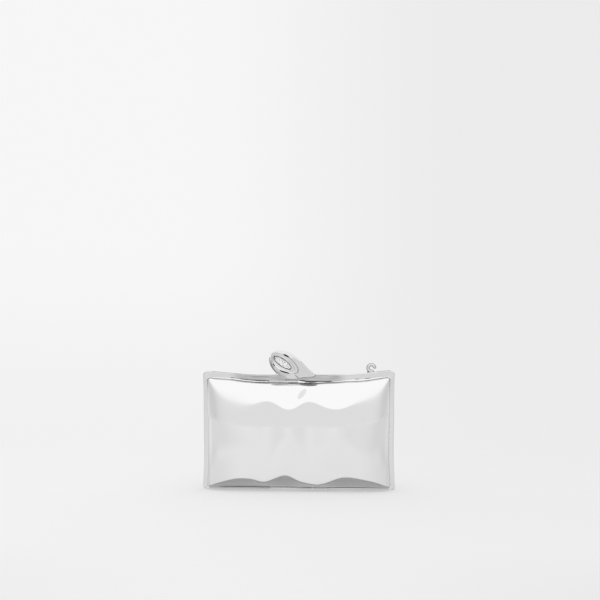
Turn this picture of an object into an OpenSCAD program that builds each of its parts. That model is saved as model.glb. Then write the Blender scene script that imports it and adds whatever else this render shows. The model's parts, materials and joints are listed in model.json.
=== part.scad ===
// Minaudiere: a hard evening clutch of polished metal that stands upright on its hinge edge.
// X runs to the right, -Y faces the viewer, +Z is up. The origin is the middle of the base.
// Two pillow-shaped shells sit in two slim half frames, hinged along the bottom. A sculpted
// ornament on the top edge works a concealed hook.

/* [Body] */
// Width across the frame at its upper corners
body_w = 190; // [175:1:205]
// Height of the frame at its upper corners
corner_h = 116.9; // [108:0.1:128]
// How far the top edge dips between the corners
top_dip = 4.3; // [2:0.1:6]
// Height of the hand-worked ripple along the top edge
top_ripple = 0.4; // [0:0.05:0.6]
// How far each side draws in at half height
side_waist = 1.4; // [0:0.1:2]
// Height of the hand-worked ripple along the sides
side_ripple = 0.4; // [0:0.05:0.6]
// Radius of the frame's upper corners
top_r = 5; // [4:0.1:7]
// Radius of the frame's lower corners
bottom_r = 3; // [2.8:0.1:4]

/* [Frames] */
// Depth of one half frame, from the parting plane to its crown
frame_d = 4.5; // [4.2:0.1:5.5]
// Gap between the half frames when closed
part_gap = 0.3; // [0.2:0.05:0.4]
// Width of the band at the sides
band_side = 4.4; // [4:0.1:6]
// Width of the band at the upper corners
band_top = 6.4; // [6:0.1:8]
// Extra width of the top band at its middle
band_swell = 3.5; // [2:0.1:4]
// Width of the band along the bottom
band_bottom = 1.8; // [1.7:0.1:2.6]
// Radius of the shell's upper corners
seat_top_r = 4; // [3.6:0.1:5]
// Radius of the shell's lower corners
seat_bottom_r = 3.5; // [3.4:0.1:4.5]
// Width of the ledge that carries a shell
ledge_w = 3; // [2.4:0.1:3.3]
// Depth of the ledge's seat face
seat_d = 2.6; // [2.4:0.1:3]
// Width of the groove that marks the parting line
lip_w = 0.4; // [0.2:0.1:0.8]
// Radius of the bead along the frame's inner edge, where the band is widest
bead_r = 1; // [0.6:0.05:1.1]

/* [Shells and linings] */
// Thickness of the pressed metal
shell_t = 0.8; // [0.6:0.1:1.2]
// Rise of the pillow above its rim
pillow_h = 18; // [12:0.5:22]
// Height of the soft upright ridges under the top edge
ridge_h = 1.7; // [0:0.1:2]
// Height above its edge at which a shell's foot turns under, where it is highest
foot_turn = 16.8; // [12:0.1:19]
// Softness of that turn
foot_soft = 0.9; // [0.4:0.1:1.5]
// Gap between a shell's rim and its frame
seat_gap = 0.1; // [0.05:0.01:0.2]
// Thickness of the suede-covered lining
lining_t = 1; // [0.8:0.1:1.5]
// Gap between a lining and its shell
lining_gap = 0.7; // [0.6:0.05:0.85]
// Height above its shell's edge at which a lining's foot turns under
lining_turn = 20; // [19:0.5:22]
// How far a lining's rim stands in from the ledge
lining_in = 0.8; // [0.6:0.1:1.2]

/* [Hinge] */
// Height of the hinge axis above the base
hinge_z = 2.2; // [2:0.1:2.4]
// Radius of the knuckles
knuckle_r = 1.5; // [1.3:0.05:1.6]
// Length of the whole hinge
hinge_l = 55; // [40:1:70]
// Length of the middle knuckle
mid_knuckle_l = 28; // [20:1:34]
// Radius of the hinge pin
hinge_pin_r = 0.6; // [0.5:0.05:0.7]
// Clearance of pins and of the eyelet's shank in their bores
pin_fit = 0.05; // [0.03:0.01:0.08]
// Side gap between neighbouring knuckles
knuckle_gap = 0.2; // [0.15:0.05:0.4]
// Angle at which the half frames meet when opened
open_angle = 45; // [30:1:48]

/* [Clasp ornament] */
// Width of the ornament
clasp_w = 46.7; // [42:0.1:52]
// Height of the ornament
clasp_h = 29.3; // [26:0.1:33]
// Left end of the ornament from the middle of the clutch
clasp_left = 29.7; // [28:0.1:32]
// How far the ornament hangs below the frame's top edge
clasp_drop = 5.6; // [4.5:0.1:6]
// Thickness of the ornament in front of its mid plane
clasp_front_t = 5.2; // [4.5:0.1:6]
// Thickness of the ornament behind its mid plane
clasp_back_t = 4.6; // [4.2:0.1:5.5]
// Long radius of the oval set in the ornament
oval_a = 10.4; // [9:0.1:11]
// Short radius of the oval
oval_b = 3.9; // [3.6:0.1:4.6]
// Slope of the oval's long axis
oval_tilt = -38; // [-45:1:-30]
// Rise of the cabochon above the floor of its setting
cabochon_h = 1.9; // [1.2:0.1:2.2]

/* [Latch] */
// Place of the lever to the left of the middle
lever_off = 6; // [4:0.5:8]
// Width of the lever
lever_w = 4.1; // [3.6:0.1:4.6]
// Thickness of the lever's blade
blade_t = 1.1; // [0.9:0.1:1.3]
// Height of the pivot above the underside of the frame's ledge
pivot_up = 4; // [3.8:0.1:4.4]
// Depth of the pivot behind the front frame's parting face
pivot_in = 1.35; // [1.3:0.05:1.5]
// Radius of the eye round the pivot
eye_r = 1.2; // [1.1:0.05:1.25]
// Radius of the pivot pin
pivot_r = 0.6; // [0.5:0.05:0.7]
// Side gap between the lever and its lugs
lug_gap = 0.3; // [0.2:0.05:0.5]
// Thickness of the lugs and of the keeper's legs
plate_t = 0.8; // [0.7:0.05:1]
// Radius of the screws that hold lugs and keeper
screw_r = 0.5; // [0.4:0.05:0.6]
// Radius of the screws' heads
head_r = 0.95; // [0.85:0.05:1]
// Height of the screws' heads
head_h = 0.7; // [0.5:0.05:0.9]
// Wire thickness of the torsion spring
spring_wire = 0.24; // [0.2:0.02:0.28]

/* [Chain eyelet] */
// Place of the eyelet, in from the right side of the frame
eyelet_in = 23; // [19:0.5:29]
// Outer radius of the eyelet's ring
eyelet_r = 4.9; // [4.4:0.1:5.4]
// Radius of the ring's wire
eyelet_wire_r = 1.5; // [1.3:0.05:1.6]
// Width of the gap in the ring, as an angle
eyelet_gap = 36; // [25:1:45]
// Radius of the eyelet's shank
shank_r = 0.8; // [0.7:0.05:0.9]

/* [Hidden] */

$fn = 40;
over = 1 * part_gap; // one overrun for every cut
half_w = body_w / 2;
in_w = half_w - band_side; // half width of the shell's seat
in_top = corner_h - band_top; // top of the seat before the edge dips
stop_share = 0.5; // each half frame is bevelled by this share of the opening
stop_margin = 2; // degrees of play left at the end of the opening

// Counts along the panels, how strongly their lines crowd towards the rims, and their rows going up
nx = 24;
lining_nx = 12;
crowd_share = 0.6;
row_shares = [0, 0.025, 0.05, 0.075, 0.1, 0.13, 0.165, 0.22, 0.3, 0.4, 0.5, 0.6, 0.7, 0.79, 0.87, 0.93, 0.97, 1];

// Waves of the hand-worked edges, and the powers of the pillow's two profiles
top_waves = 2.1;
side_waves = 1.25;
across_power = 7;
up_power = 3;
wall_fall_share = 0.03; // how much of its height the pillow loses towards the foot

// Upright ridges and valleys of the hand-beaten pillow: place across, height and width
ridge_shares = [[-0.1, 1, 0.11], [0.45, 1.1, 0.16], [-0.58, 0.45, 0.2], [-0.33, -0.5, 0.1], [0.13, -0.6, 0.1]];
ridge_low_shares = [-0.75, 0.12]; // places up the panel between which the ridges rise, then fade
ridge_high_shares = [0.92, 0.4];
// Place across the shell, and height at which its foot turns under
foot_turn_shares = [
    [-1, 0.09], [-0.92, 0.27], [-0.83, 0.48], [-0.65, 0.75], [-0.5, 0.76], [-0.34, 0.72], [-0.22, 0.88], [-0.13, 1],
    [-0.04, 0.87], [0.05, 0.65], [0.19, 0.43], [0.3, 0.54], [0.45, 0.85], [0.55, 0.8], [0.65, 0.7], [0.81, 0.44],
    [0.92, 0.24], [1, 0.09]
];

// Where a value in the frame's section is given as a share, it is of the band's width or the frame's depth
edge_d_shares = [0.25, 0.6];
crown_shares = [[0.04, 0.88], [0.16, 0.97], [0.5, 1]];
groove_share = 0.8;
bead_shares = [[-0.87, 0.4], [0, 1], [0.87, 0.4]]; // these are shares of the bead's radius
bead_least_share = 0.15; // the bead's radius along the sides and the bottom

function draw_in(z) = side_waist * sin(180 * z / corner_h)
    + side_ripple * sin(360 * side_waves * z / corner_h) * sin(180 * z / corner_h);
function edge_dip(x) = top_dip * (1 - pow(x / half_w, 2)) - top_ripple * cos(360 * top_waves * x / body_w);
// Bends a point of the plain rectangle to the worked outline
function warp(p) = [p[0] * (1 - draw_in(p[1]) / half_w), p[1] - edge_dip(p[0]) * p[1] / corner_h];
function seat_swell(p) = [
    p[0],
    p[1] - band_swell * (1 - pow(p[0] / in_w, 2)) * (p[1] - band_bottom) / (in_top - band_bottom)
];
function place(p) = warp(seat_swell(p));

// Runs of a rounded rectangle from corner middle to corner middle, s going from 0 to 1
function on_arc(c, r, a) = [c[0] + r * cos(a), c[1] + r * sin(a)];
function top_run(s, a, t, r) = let (q = r * PI / 4, m = 2 * (a - r), l = s * (2 * q + m))
    l < q ? on_arc([r - a, t - r], r, 135 - 45 * l / q)
    : l > q + m ? on_arc([a - r, t - r], r, 90 - 45 * (l - q - m) / q)
    : [r - a + l - q, t];
function bottom_run(s, a, b, r) = let (p = top_run(s, a, 0, r)) [p[0], b - p[1]];
function side_run(s, a, b, t, rb, rt) = let (qb = rb * PI / 4, qt = rt * PI / 4, m = t - b - rb - rt)
    let (l = s * (qb + m + qt))
    l < qb ? on_arc([a - rb, b + rb], rb, -45 + 45 * l / qb)
    : l > qb + m ? on_arc([a - rt, t - rt], rt, 45 * (l - qb - m) / qt)
    : [a, b + rb + l - qb];
function spread(n) = [for (i = [0:n]) let (k = i / n) (1 - crowd_share) * k + crowd_share * (1 - cos(180 * k)) / 2];

// The stations of a rounded rectangle bx = [half width, bottom, top, bottom radius, top radius]
function rim(bx, sx, sz) = concat(
    [for (i = [0:len(sx) - 2]) bottom_run(sx[i], bx[0], bx[1], bx[3])],
    [for (i = [0:len(sz) - 2]) side_run(sz[i], bx[0], bx[1], bx[2], bx[3], bx[4])],
    [for (i = [len(sx) - 1:-1:1]) top_run(sx[i], bx[0], bx[2], bx[4])],
    [for (i = [len(sz) - 1:-1:1]) let (p = side_run(sz[i], bx[0], bx[1], bx[2], bx[3], bx[4])) [-p[0], p[1]]]
);
outer_box = [half_w, 0, corner_h, bottom_r, top_r];
seat_box = [in_w, band_bottom, in_top, seat_bottom_r, seat_top_r];
shell_box = inset_box(seat_gap);
lining_box = inset_box(ledge_w + lining_in);
function inset_box(e) = [
    seat_box[0] - e, seat_box[1] + e, seat_box[2] - e, max(lip_w, seat_box[3] - e), max(lip_w, seat_box[4] - e)
];

// A closed skin over rings of equal length that follow each other in a loop
function loop_faces(n, m) = [
    for (j = [0:n - 1], i = [0:m - 1])
        let (a = j * m + i, b = ((j + 1) % n) * m + i, c = ((j + 1) % n) * m + (i + 1) % m, d = j * m + (i + 1) % m)
        each [[a, c, b], [a, d, c]]
];

// Section of the front half frame at one station, from its outer edge o towards its inner edge i
function frame_section(o, i) = let (
        b = norm(i - o),
        n = (i - o) / b,
        low = hinge_z - o[1],
        bevel = open_angle * stop_share + stop_margin,
        lip = n[1] > 0 ? max(lip_w, low / n[1]) : lip_w,
        edge = max(edge_d_shares[0] * frame_d, low * tan(bevel)),
        r = bead_r * min(1, max(bead_least_share, (b - band_side) / (band_top + band_swell - band_side))),
        crown_w = b - 2.3 * r
    )
    [for (q = concat(
        [[lip, 0], [0, edge], [0, max(edge_d_shares[1] * frame_d, edge)]],
        [for (k = crown_shares) [k[0] * crown_w, k[1] * frame_d]],
        [[crown_w, groove_share * frame_d]],
        [for (k = bead_shares) [b - 1.1 * r + k[0] * r, groove_share * frame_d + k[1] * r]],
        [[b, seat_d + shell_t / 2], [b, seat_d], [b + ledge_w, seat_d], [b + ledge_w, 0]]
    )) [o[0] + n[0] * q[0], -part_gap / 2 - q[1], o[1] + n[1] * q[0]]];

module half_frame_blank() {
    sx = spread(nx);
    outside = [for (p = rim(outer_box, sx, row_shares)) warp(p)];
    inside = [for (p = rim(seat_box, sx, row_shares)) place(p)];
    rings = [for (j = [0:len(outside) - 1]) frame_section(outside[j], inside[j])];
    polyhedron([for (r = rings) each r], loop_faces(len(rings), len(rings[0])));
}

// Rise of the pillow at u across and v up, both from -1 to 1, with its foot turning under at height turn_z
function bulge(w, power) = sqrt(max(0, 1 - pow(abs(w), power)));
function ramp(v, e) = let (k = min(1, max(0, (v - e[0]) / (e[1] - e[0])))) k * k * (3 - 2 * k);
function ridge(u, v) = ridge_h * ramp(v, ridge_low_shares) * ramp(v, ridge_high_shares)
    * [for (k = ridge_shares) k[1] * exp(-pow((u - k[0]) / k[2], 2))] * [for (k = ridge_shares) 1];
function soft_least(a, b) = min(a, b) - foot_soft * ln(1 + exp(-abs(a - b) / foot_soft));
function rise(u, v, height, turn_z) = bulge(u, across_power) * soft_least(
    height * (v > 0 ? bulge(v, up_power) : 1 - wall_fall_share * v * v),
    pillow_h * (1 + v) * (shell_box[2] - shell_box[1]) / 2 / turn_z
);
function shell_rise(u, v) = rise(u, v, pillow_h + ridge(u, v), foot_turn * lookup(u, foot_turn_shares));
function lining_rise(u, v) = rise(u, v, pillow_h - ridge_h / 2, lining_turn);

// A point of a panel between its four rim runs
function panel_pt(s, t, bx) = let (
        b = bottom_run(s, bx[0], bx[1], bx[3]),
        a = top_run(s, bx[0], bx[2], bx[4]),
        r = side_run(t, bx[0], bx[1], bx[2], bx[3], bx[4]),
        l = [-r[0], r[1]],
        c = [bottom_run(1, bx[0], bx[1], bx[3]), top_run(1, bx[0], bx[2], bx[4])],
        e = [for (k = c) [-k[0], k[1]]]
    )
    (1 - t) * b + t * a + (1 - s) * l + s * r
    - (1 - s) * (1 - t) * e[0] - s * (1 - t) * c[0] - (1 - s) * t * e[1] - s * t * c[1];

// A dished panel over the box bx: its face stands face_d off the seat, and its back lies t behind
module panel(bx, mx, face_d, t, lined) {
    sx = spread(mx);
    mz = len(row_shares) - 1;
    across = bx[0] / shell_box[0];
    low = 2 * (bx[1] - shell_box[1]) / (shell_box[2] - shell_box[1]) - 1;
    high = 1 - 2 * (shell_box[2] - bx[2]) / (shell_box[2] - shell_box[1]);
    grid = [for (j = [0:mz], i = [0:mx]) let (
            q = place(panel_pt(sx[i], row_shares[j], bx)),
            u = (2 * sx[i] - 1) * across,
            v = low + (high - low) * row_shares[j],
            h = lined ? lining_rise(u, v) : shell_rise(u, v)
        )
        [q[0], -part_gap / 2 - seat_d - face_d - h, q[1]]];
    n = len(grid);
    w = mx + 1;
    rim_ids = concat([for (i = [0:mx - 1]) i], [for (j = [0:mz - 1]) j * w + mx],
        [for (i = [mx:-1:1]) mz * w + i], [for (j = [mz:-1:1]) j * w]);
    polyhedron(
        concat(grid, [for (p = grid) [p[0], p[1] + t, p[2]]]),
        concat(
            [for (j = [0:mz - 1], i = [0:mx - 1]) let (a = j * w + i)
                each [[a, a + w, a + w + 1], [a, a + w + 1, a + 1]]],
            [for (j = [0:mz - 1], i = [0:mx - 1]) let (a = n + j * w + i)
                each [[a, a + w + 1, a + w], [a, a + 1, a + w + 1]]],
            [for (k = [0:len(rim_ids) - 1]) let (a = rim_ids[k], b = rim_ids[(k + 1) % len(rim_ids)])
                each [[a, b, b + n], [a, b + n, a + n]]]
        )
    );
}
module shell_panel() { panel(shell_box, nx, shell_t, shell_t, false); }
module lining_panel() { panel(lining_box, lining_nx, -lining_gap, lining_t, true); }

// Places of the latch, worked out from the frame
lever_x = -lever_off;
lug_x = lever_w / 2 + lug_gap; // inner face of a lug from the lever's middle
lug_out = lug_x + plate_t;
flange_out = lug_out + 5 * head_r;
ledge_z = min([for (k = [-1:1]) place([lever_x + k * flange_out, in_top])[1]]) - ledge_w;
top_z = max([for (k = [-1:1]) warp([lever_x + k * flange_out, corner_h])[1]]);
pivot_y = -part_gap / 2 - pivot_in;
pivot_z = ledge_z + pivot_up;
notch_d = seat_d + plate_t * 0.75; // depth of the lever's notch in the front frame
blade_back = -part_gap / 2 - plate_t / 4; // rear face of the lever's blade
blade_front = blade_back - blade_t;
blade_top = top_z + 0.85 * clasp_h / 3;
nose_top = ledge_z - 1.75 * plate_t;
nose_t = 2 * plate_t;
bar_front = part_gap / 2 + 0.375 * plate_t; // front face of the keeper's bar
bar_back = bar_front + 1.5 * plate_t;
tooth_y = bar_back + part_gap;
tooth_z = nose_top - nose_t - 1.5 * plate_t;
tooth_lift = 0.2; // play between the tooth and the keeper's bar
flange_screw_x = lug_out + 2.6 * head_r;
flange_y = part_gap / 2 + seat_d / 2; // screw line of lugs and keeper from the parting plane
flange_half = 0.38 * seat_d;
screw_l = 5 * plate_t;
top_clear = 2 * part_gap; // gap between the ornament and the frame below it

module hinge_clearance() {
    r = knuckle_r + knuckle_gap;
    translate([-hinge_l / 2 - knuckle_gap, -part_gap / 2 - r, -over])
        cube([hinge_l + 2 * knuckle_gap, r + part_gap, hinge_z + r + over]);
    translate([-hinge_l / 2 - knuckle_gap, -frame_d - part_gap - over, -over])
        cube([hinge_l + 2 * knuckle_gap, frame_d + part_gap + over, band_bottom - shell_t / 2 + over]);
}

module flange_holes(y) {
    for (side = [-1, 1])
        translate([lever_x + side * flange_screw_x, y, ledge_z - over])
            cylinder(r = screw_r, h = screw_l + over);
}

module front_frame() {
    color("silver") difference() {
        half_frame_blank();
        hinge_clearance();
        translate([lever_x - lug_out - lug_gap, -part_gap / 2 - notch_d, ledge_z - over])
            cube([2 * (lug_out + lug_gap), notch_d + over, top_z - ledge_z + frame_d]);
        flange_holes(-flange_y);
    }
}

module back_frame() {
    color("silver") difference() {
        mirror([0, 1, 0]) half_frame_blank();
        mirror([0, 1, 0]) hinge_clearance();
        flange_holes(flange_y);
        translate([eyelet_x, eyelet_y, shank_bottom - over])
            cylinder(r = shank_r + pin_fit, h = eyelet_top - shank_bottom + 2 * over);
        translate([eyelet_x - collar_half - part_gap, 0, eyelet_top])
            cube([2 * (collar_half + part_gap), frame_d + part_gap + over, eyelet_wire_r]);
    }
}

module front_shell() { color("silver") shell_panel(); }
module back_shell() { color("silver") mirror([0, 1, 0]) shell_panel(); }
module front_lining() { color("dimgray") lining_panel(); }
module back_lining() { color("dimgray") mirror([0, 1, 0]) lining_panel(); }

// One knuckle of length l whose left end is at x, with its foot on the front half frame
module knuckle(x, l) {
    foot_d = knuckle_r + knuckle_gap + part_gap / 2;
    difference() {
        translate([x, 0, hinge_z]) union() {
            rotate([0, 90, 0]) cylinder(r = knuckle_r, h = l);
            translate([0, -foot_d, 0]) cube([l, foot_d - 0.6 * knuckle_r, knuckle_r + knuckle_gap]);
        }
        translate([x - over, 0, hinge_z]) rotate([0, 90, 0]) cylinder(r = hinge_pin_r + pin_fit, h = l + 2 * over);
    }
}

end_knuckle_l = (hinge_l - mid_knuckle_l) / 2 - knuckle_gap;
module front_knuckles() {
    color("silver") for (x = [-hinge_l / 2, hinge_l / 2 - end_knuckle_l]) knuckle(x, end_knuckle_l);
}
module back_knuckle() {
    color("silver") mirror([0, 1, 0]) knuckle(-mid_knuckle_l / 2, mid_knuckle_l);
}
module hinge_pin() {
    color("gainsboro") translate([-hinge_l / 2, 0, hinge_z]) rotate([0, 90, 0]) cylinder(r = hinge_pin_r, h = hinge_l);
}

// Two lugs under the front ledge whose ears rise into the notch and hold the pivot pin
module pivot_lugs() {
    color("gainsboro") for (side = [-1, 1]) difference() {
        union() {
            translate([lever_x + side * (lug_x + plate_t / 2) - plate_t / 2, pivot_y, pivot_z])
                rotate([0, 90, 0]) cylinder(r = eye_r, h = plate_t);
            translate([lever_x + side * (lug_x + plate_t / 2) - plate_t / 2, pivot_y - flange_half, ledge_z - plate_t])
                cube([plate_t, 2 * flange_half, pivot_z - ledge_z + plate_t]);
            translate([lever_x + (side > 0 ? lug_x : -flange_out), -flange_y - flange_half, ledge_z - plate_t])
                cube([flange_out - lug_x, 2 * flange_half, plate_t]);
        }
        translate([lever_x - lug_out - over, pivot_y, pivot_z])
            rotate([0, 90, 0]) cylinder(r = pivot_r, h = 2 * (lug_out + over));
        translate([lever_x + side * flange_screw_x, -flange_y, ledge_z - plate_t - over])
            cylinder(r = screw_r, h = plate_t + 2 * over);
    }
}

module flange_screws(y) {
    for (side = [-1, 1]) translate([lever_x + side * flange_screw_x, y, ledge_z - plate_t]) {
        cylinder(r = screw_r, h = screw_l + plate_t - over);
        difference() {
            translate([0, 0, -head_h]) cylinder(r = head_r, h = head_h);
            translate([-head_r - over, -screw_r / 4, -head_h - over])
                cube([2 * (head_r + over), screw_r / 2, head_h / 3 + over]);
        }
    }
}
module lug_screws() { color("gainsboro") flange_screws(-flange_y); }
module keeper_screws() { color("gainsboro") flange_screws(flange_y); }

module pivot_pin() {
    color("gainsboro") translate([lever_x - lug_out, pivot_y, pivot_z])
        rotate([0, 90, 0]) cylinder(r = pivot_r, h = 2 * lug_out);
}

// Loop under the back ledge: the hook's nose goes through it and its tooth stands behind the bar
bar_top = tooth_z - tooth_lift;
module keeper() {
    inner = lever_w / 2 + lug_gap + plate_t / 4;
    color("gainsboro") difference() {
        union() {
            for (side = [-1, 1]) {
                translate([lever_x + side * (inner + plate_t / 2) - plate_t / 2, bar_front, bar_top - plate_t])
                    cube([plate_t, bar_back - bar_front, ledge_z - bar_top + plate_t]);
                translate([lever_x + (side > 0 ? inner : -flange_out), flange_y - flange_half, ledge_z - plate_t])
                    cube([flange_out - inner, 2 * flange_half, plate_t]);
            }
            translate([lever_x - inner - plate_t, bar_front, bar_top - plate_t])
                cube([2 * (inner + plate_t), bar_back - bar_front, plate_t]);
        }
        for (side = [-1, 1]) translate([lever_x + side * flange_screw_x, flange_y, ledge_z - plate_t - over])
            cylinder(r = screw_r, h = plate_t + 2 * over);
    }
}

// Blade, eye and hook of the lever, cut from one strip
lever_screw_zs = [for (k = [0.3, 0.72]) top_z + top_clear + k * (blade_top - top_z - top_clear)];
module clasp_lever() {
    arm_y = pivot_y - 0.5 * blade_t;
    color("gainsboro") translate([lever_x - lever_w / 2, 0, 0]) difference() {
        union() {
            translate([0, blade_front, pivot_z]) cube([lever_w, blade_t, blade_top - pivot_z]);
            translate([0, pivot_y, pivot_z]) rotate([0, 90, 0]) cylinder(r = eye_r, h = lever_w - spring_room);
            translate([0, arm_y, nose_top - nose_t])
                cube([lever_w - spring_room, blade_t, pivot_z - nose_top + nose_t]);
            translate([0, arm_y, nose_top - nose_t]) cube([lever_w, tooth_y + plate_t - arm_y, nose_t]);
            translate([0, tooth_y, tooth_z]) cube([lever_w, plate_t, nose_top - tooth_z]);
        }
        translate([-over, pivot_y, pivot_z]) rotate([0, 90, 0]) cylinder(r = pivot_r + pin_fit, h = lever_w + 2 * over);
        translate([lever_w - spring_room, pivot_y - spring_out, pivot_z - spring_out])
            cube([spring_room + over, 2 * spring_out, 2 * spring_out]);
        for (z = lever_screw_zs) translate([lever_w / 2, blade_front - over, z])
            rotate([-90, 0, 0]) cylinder(r = screw_r, h = blade_t + 2 * over);
    }
}

module lever_screws() {
    color("gainsboro") for (z = lever_screw_zs) translate([lever_x, blade_back, z]) rotate([90, 0, 0]) {
        cylinder(r = screw_r, h = blade_t + 2.5 * plate_t);
        difference() {
            translate([0, 0, -head_h]) cylinder(r = head_r, h = head_h);
            translate([-head_r - over, -screw_r / 4, -head_h - over])
                cube([2 * (head_r + over), screw_r / 2, head_h / 3 + over]);
        }
    }
}

// Torsion spring beside the lever's eye: a coil round the pivot pin, with its ends laid off straight
spring_turns = 4;
spring_steps = 12;
spring_r = pivot_r + pin_fit + spring_wire;
spring_out = spring_r + 1.5 * spring_wire;
spring_room = (spring_turns + 2) * spring_wire;
function spring_pt(k) = let (a = 360 * k / spring_steps, r = spring_r)
    [spring_wire + 1.12 * spring_wire * k / spring_steps, r * cos(a), r * sin(a)];
module clasp_spring() {
    sides = 6;
    last = spring_turns * spring_steps;
    rings = [for (k = [0:last]) let (p = spring_pt(k), a = 360 * k / spring_steps)
        [for (i = [0:sides - 1]) let (b = 360 * i / sides, w = spring_wire / 2)
            p + w * [cos(b), sin(b) * cos(a), sin(b) * sin(a)]]];
    pts = [for (r = rings) each r];
    color("gainsboro") translate([lever_x + lever_w / 2 - spring_room, pivot_y, pivot_z])
        polyhedron(pts, concat(
            [[for (i = [0:sides - 1]) i]],
            [[for (i = [sides - 1:-1:0]) last * sides + i]],
            [for (k = [0:last - 1], i = [0:sides - 1])
                let (a = k * sides + i, b = k * sides + (i + 1) % sides)
                each [[a, a + sides, b + sides], [a, b + sides, b]]]
        ));
}

// Chain eyelet on the back frame: an open ring on a collar, with a shank and a nut inside
eyelet_x = half_w - eyelet_in;
eyelet_y = part_gap / 2 + seat_d / 2 + part_gap;
foot_r = 0.92 * eyelet_wire_r;
collar_half = 3 * foot_r;
eyelet_top = min([for (k = [-1:1]) warp([eyelet_x + k * collar_half, corner_h])[1]]); // the frame is filed flat here
eyelet_ledge = min([for (k = [-1:1]) place([eyelet_x + 2 * k * shank_r, in_top])[1]]) - ledge_w;
nut_h = 1.5 * shank_r;
shank_bottom = eyelet_ledge - nut_h - shank_r / 2;
collar_h = 0.7 * eyelet_wire_r;
ring_z = eyelet_top + eyelet_r + 0.3 * collar_h;
module chain_eyelet() {
    ring_r = eyelet_r - eyelet_wire_r;
    gap_from = -12;
    color("silver") union() {
        translate([eyelet_x, eyelet_y, ring_z]) rotate([90, 0, 0]) rotate([0, 0, gap_from])
            rotate_extrude(angle = 360 - eyelet_gap) translate([ring_r, 0]) circle(r = eyelet_wire_r);
        translate([eyelet_x, eyelet_y, shank_bottom])
            cylinder(r = shank_r, h = ring_z - ring_r - shank_bottom);
        for (side = [-1, 1]) translate([eyelet_x + side * 2 * foot_r, eyelet_y, eyelet_top])
            cylinder(r = foot_r, h = collar_h);
        translate([eyelet_x - 2 * foot_r, eyelet_y - 0.9 * foot_r, eyelet_top])
            cube([4 * foot_r, 1.8 * foot_r, collar_h]);
    }
}

module eyelet_nut() {
    color("silver") translate([eyelet_x, eyelet_y, eyelet_ledge - nut_h]) difference() {
        cylinder(r = 1.9 * shank_r, h = nut_h, $fn = 6);
        translate([0, 0, -over]) cylinder(r = shank_r, h = nut_h + 2 * over);
    }
}

// Ornament: nested rims round a tilted oval, swept out to a fluid outline with a tail to the right
clasp_z = top_z - clasp_drop;
clasp_y = -part_gap / 2 - 0.6 * frame_d;
outline_shares = [
    [0.041, 0.86], [0.079, 0.942], [0.143, 0.986], [0.229, 1], [0.36, 0.96], [0.469, 0.9], [0.557, 0.805],
    [0.645, 0.689], [0.734, 0.553], [0.822, 0.405], [0.91, 0.283], [1, 0.157], [0.946, 0.099], [0.734, 0.072],
    [0.522, 0], [0.381, 0.044], [0.206, 0.157], [0.133, 0.266], [0.062, 0.396], [0.017, 0.539], [0, 0.676],
    [0.01, 0.76], [0.05, 0.8]
];
oval_place_shares = [0.287, 0.57];
// Rings from the outline (1) to the oval's edge (0), with their height over the mid plane
front_ring_shares = [
    [1, 0], [0.95, 0.42], [0.82, 0.74], [0.62, 0.94], [0.45, 1], [0.33, 0.84], [0.22, 0.97], [0.08, 1], [0, 0.84]
];
floor_shares = [[0.9, 0.45], [0.5, 0.44]];
back_ring_shares = [[0.3, 1], [0.62, 0.9], [0.9, 0.5]];

function bend(a, b, c, d, t) = (2 * b + (c - a) * t + (2 * a - 5 * b + 4 * c - d) * t * t
    + (3 * b - a - 3 * c + d) * t * t * t) / 2;
function smooth_loop(p, n) = let (m = len(p)) [
    for (i = [0:m - 1], k = [0:n - 1]) bend(p[(i + m - 1) % m], p[i], p[(i + 1) % m], p[(i + 2) % m], k / n)
];
function turn(p, a) = [p[0] * cos(a) - p[1] * sin(a), p[0] * sin(a) + p[1] * cos(a)];
oval_at = [clasp_w * oval_place_shares[0] - clasp_left, clasp_z + clasp_h * oval_place_shares[1]];
clasp_outline = smooth_loop([for (q = outline_shares) [clasp_w * q[0] - clasp_left, clasp_z + clasp_h * q[1]]], 3);
// The point of the oval that faces an outline point
function on_oval(p) = let (q = turn(p - oval_at, -oval_tilt), a = atan2(q[1] / oval_b, q[0] / oval_a))
    oval_at + turn([oval_a * cos(a), oval_b * sin(a)], oval_tilt);

module ornament_blank() {
    n = len(clasp_outline);
    oval = [for (p = clasp_outline) on_oval(p)];
    front = [for (r = front_ring_shares) [for (i = [0:n - 1])
        let (q = oval[i] + r[0] * (clasp_outline[i] - oval[i])) [q[0], clasp_y - clasp_front_t * r[1], q[1]]]];
    well = [for (r = floor_shares) [for (p = oval)
        let (q = oval_at + r[0] * (p - oval_at)) [q[0], clasp_y - clasp_front_t * r[1], q[1]]]];
    back = [for (r = back_ring_shares) [for (i = [0:n - 1])
        let (q = oval[i] + r[0] * (clasp_outline[i] - oval[i])) [q[0], clasp_y + clasp_back_t * r[1], q[1]]]];
    rings = concat(back, front, well);
    pts = concat([for (r = rings) each r], [
        [oval_at[0], clasp_y + clasp_back_t, oval_at[1]],
        [oval_at[0], clasp_y - clasp_front_t * floor_shares[1][1], oval_at[1]]
    ]);
    last = len(rings) - 1;
    polyhedron(pts, concat(
        [for (k = [0:last - 1], i = [0:n - 1]) let (a = k * n + i, b = k * n + (i + 1) % n)
            each [[a, b, b + n], [a, b + n, a + n]]],
        [for (i = [0:n - 1]) [(i + 1) % n, i, len(pts) - 2]],
        [for (i = [0:n - 1]) [last * n + i, last * n + (i + 1) % n, len(pts) - 1]]
    ));
}

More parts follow.
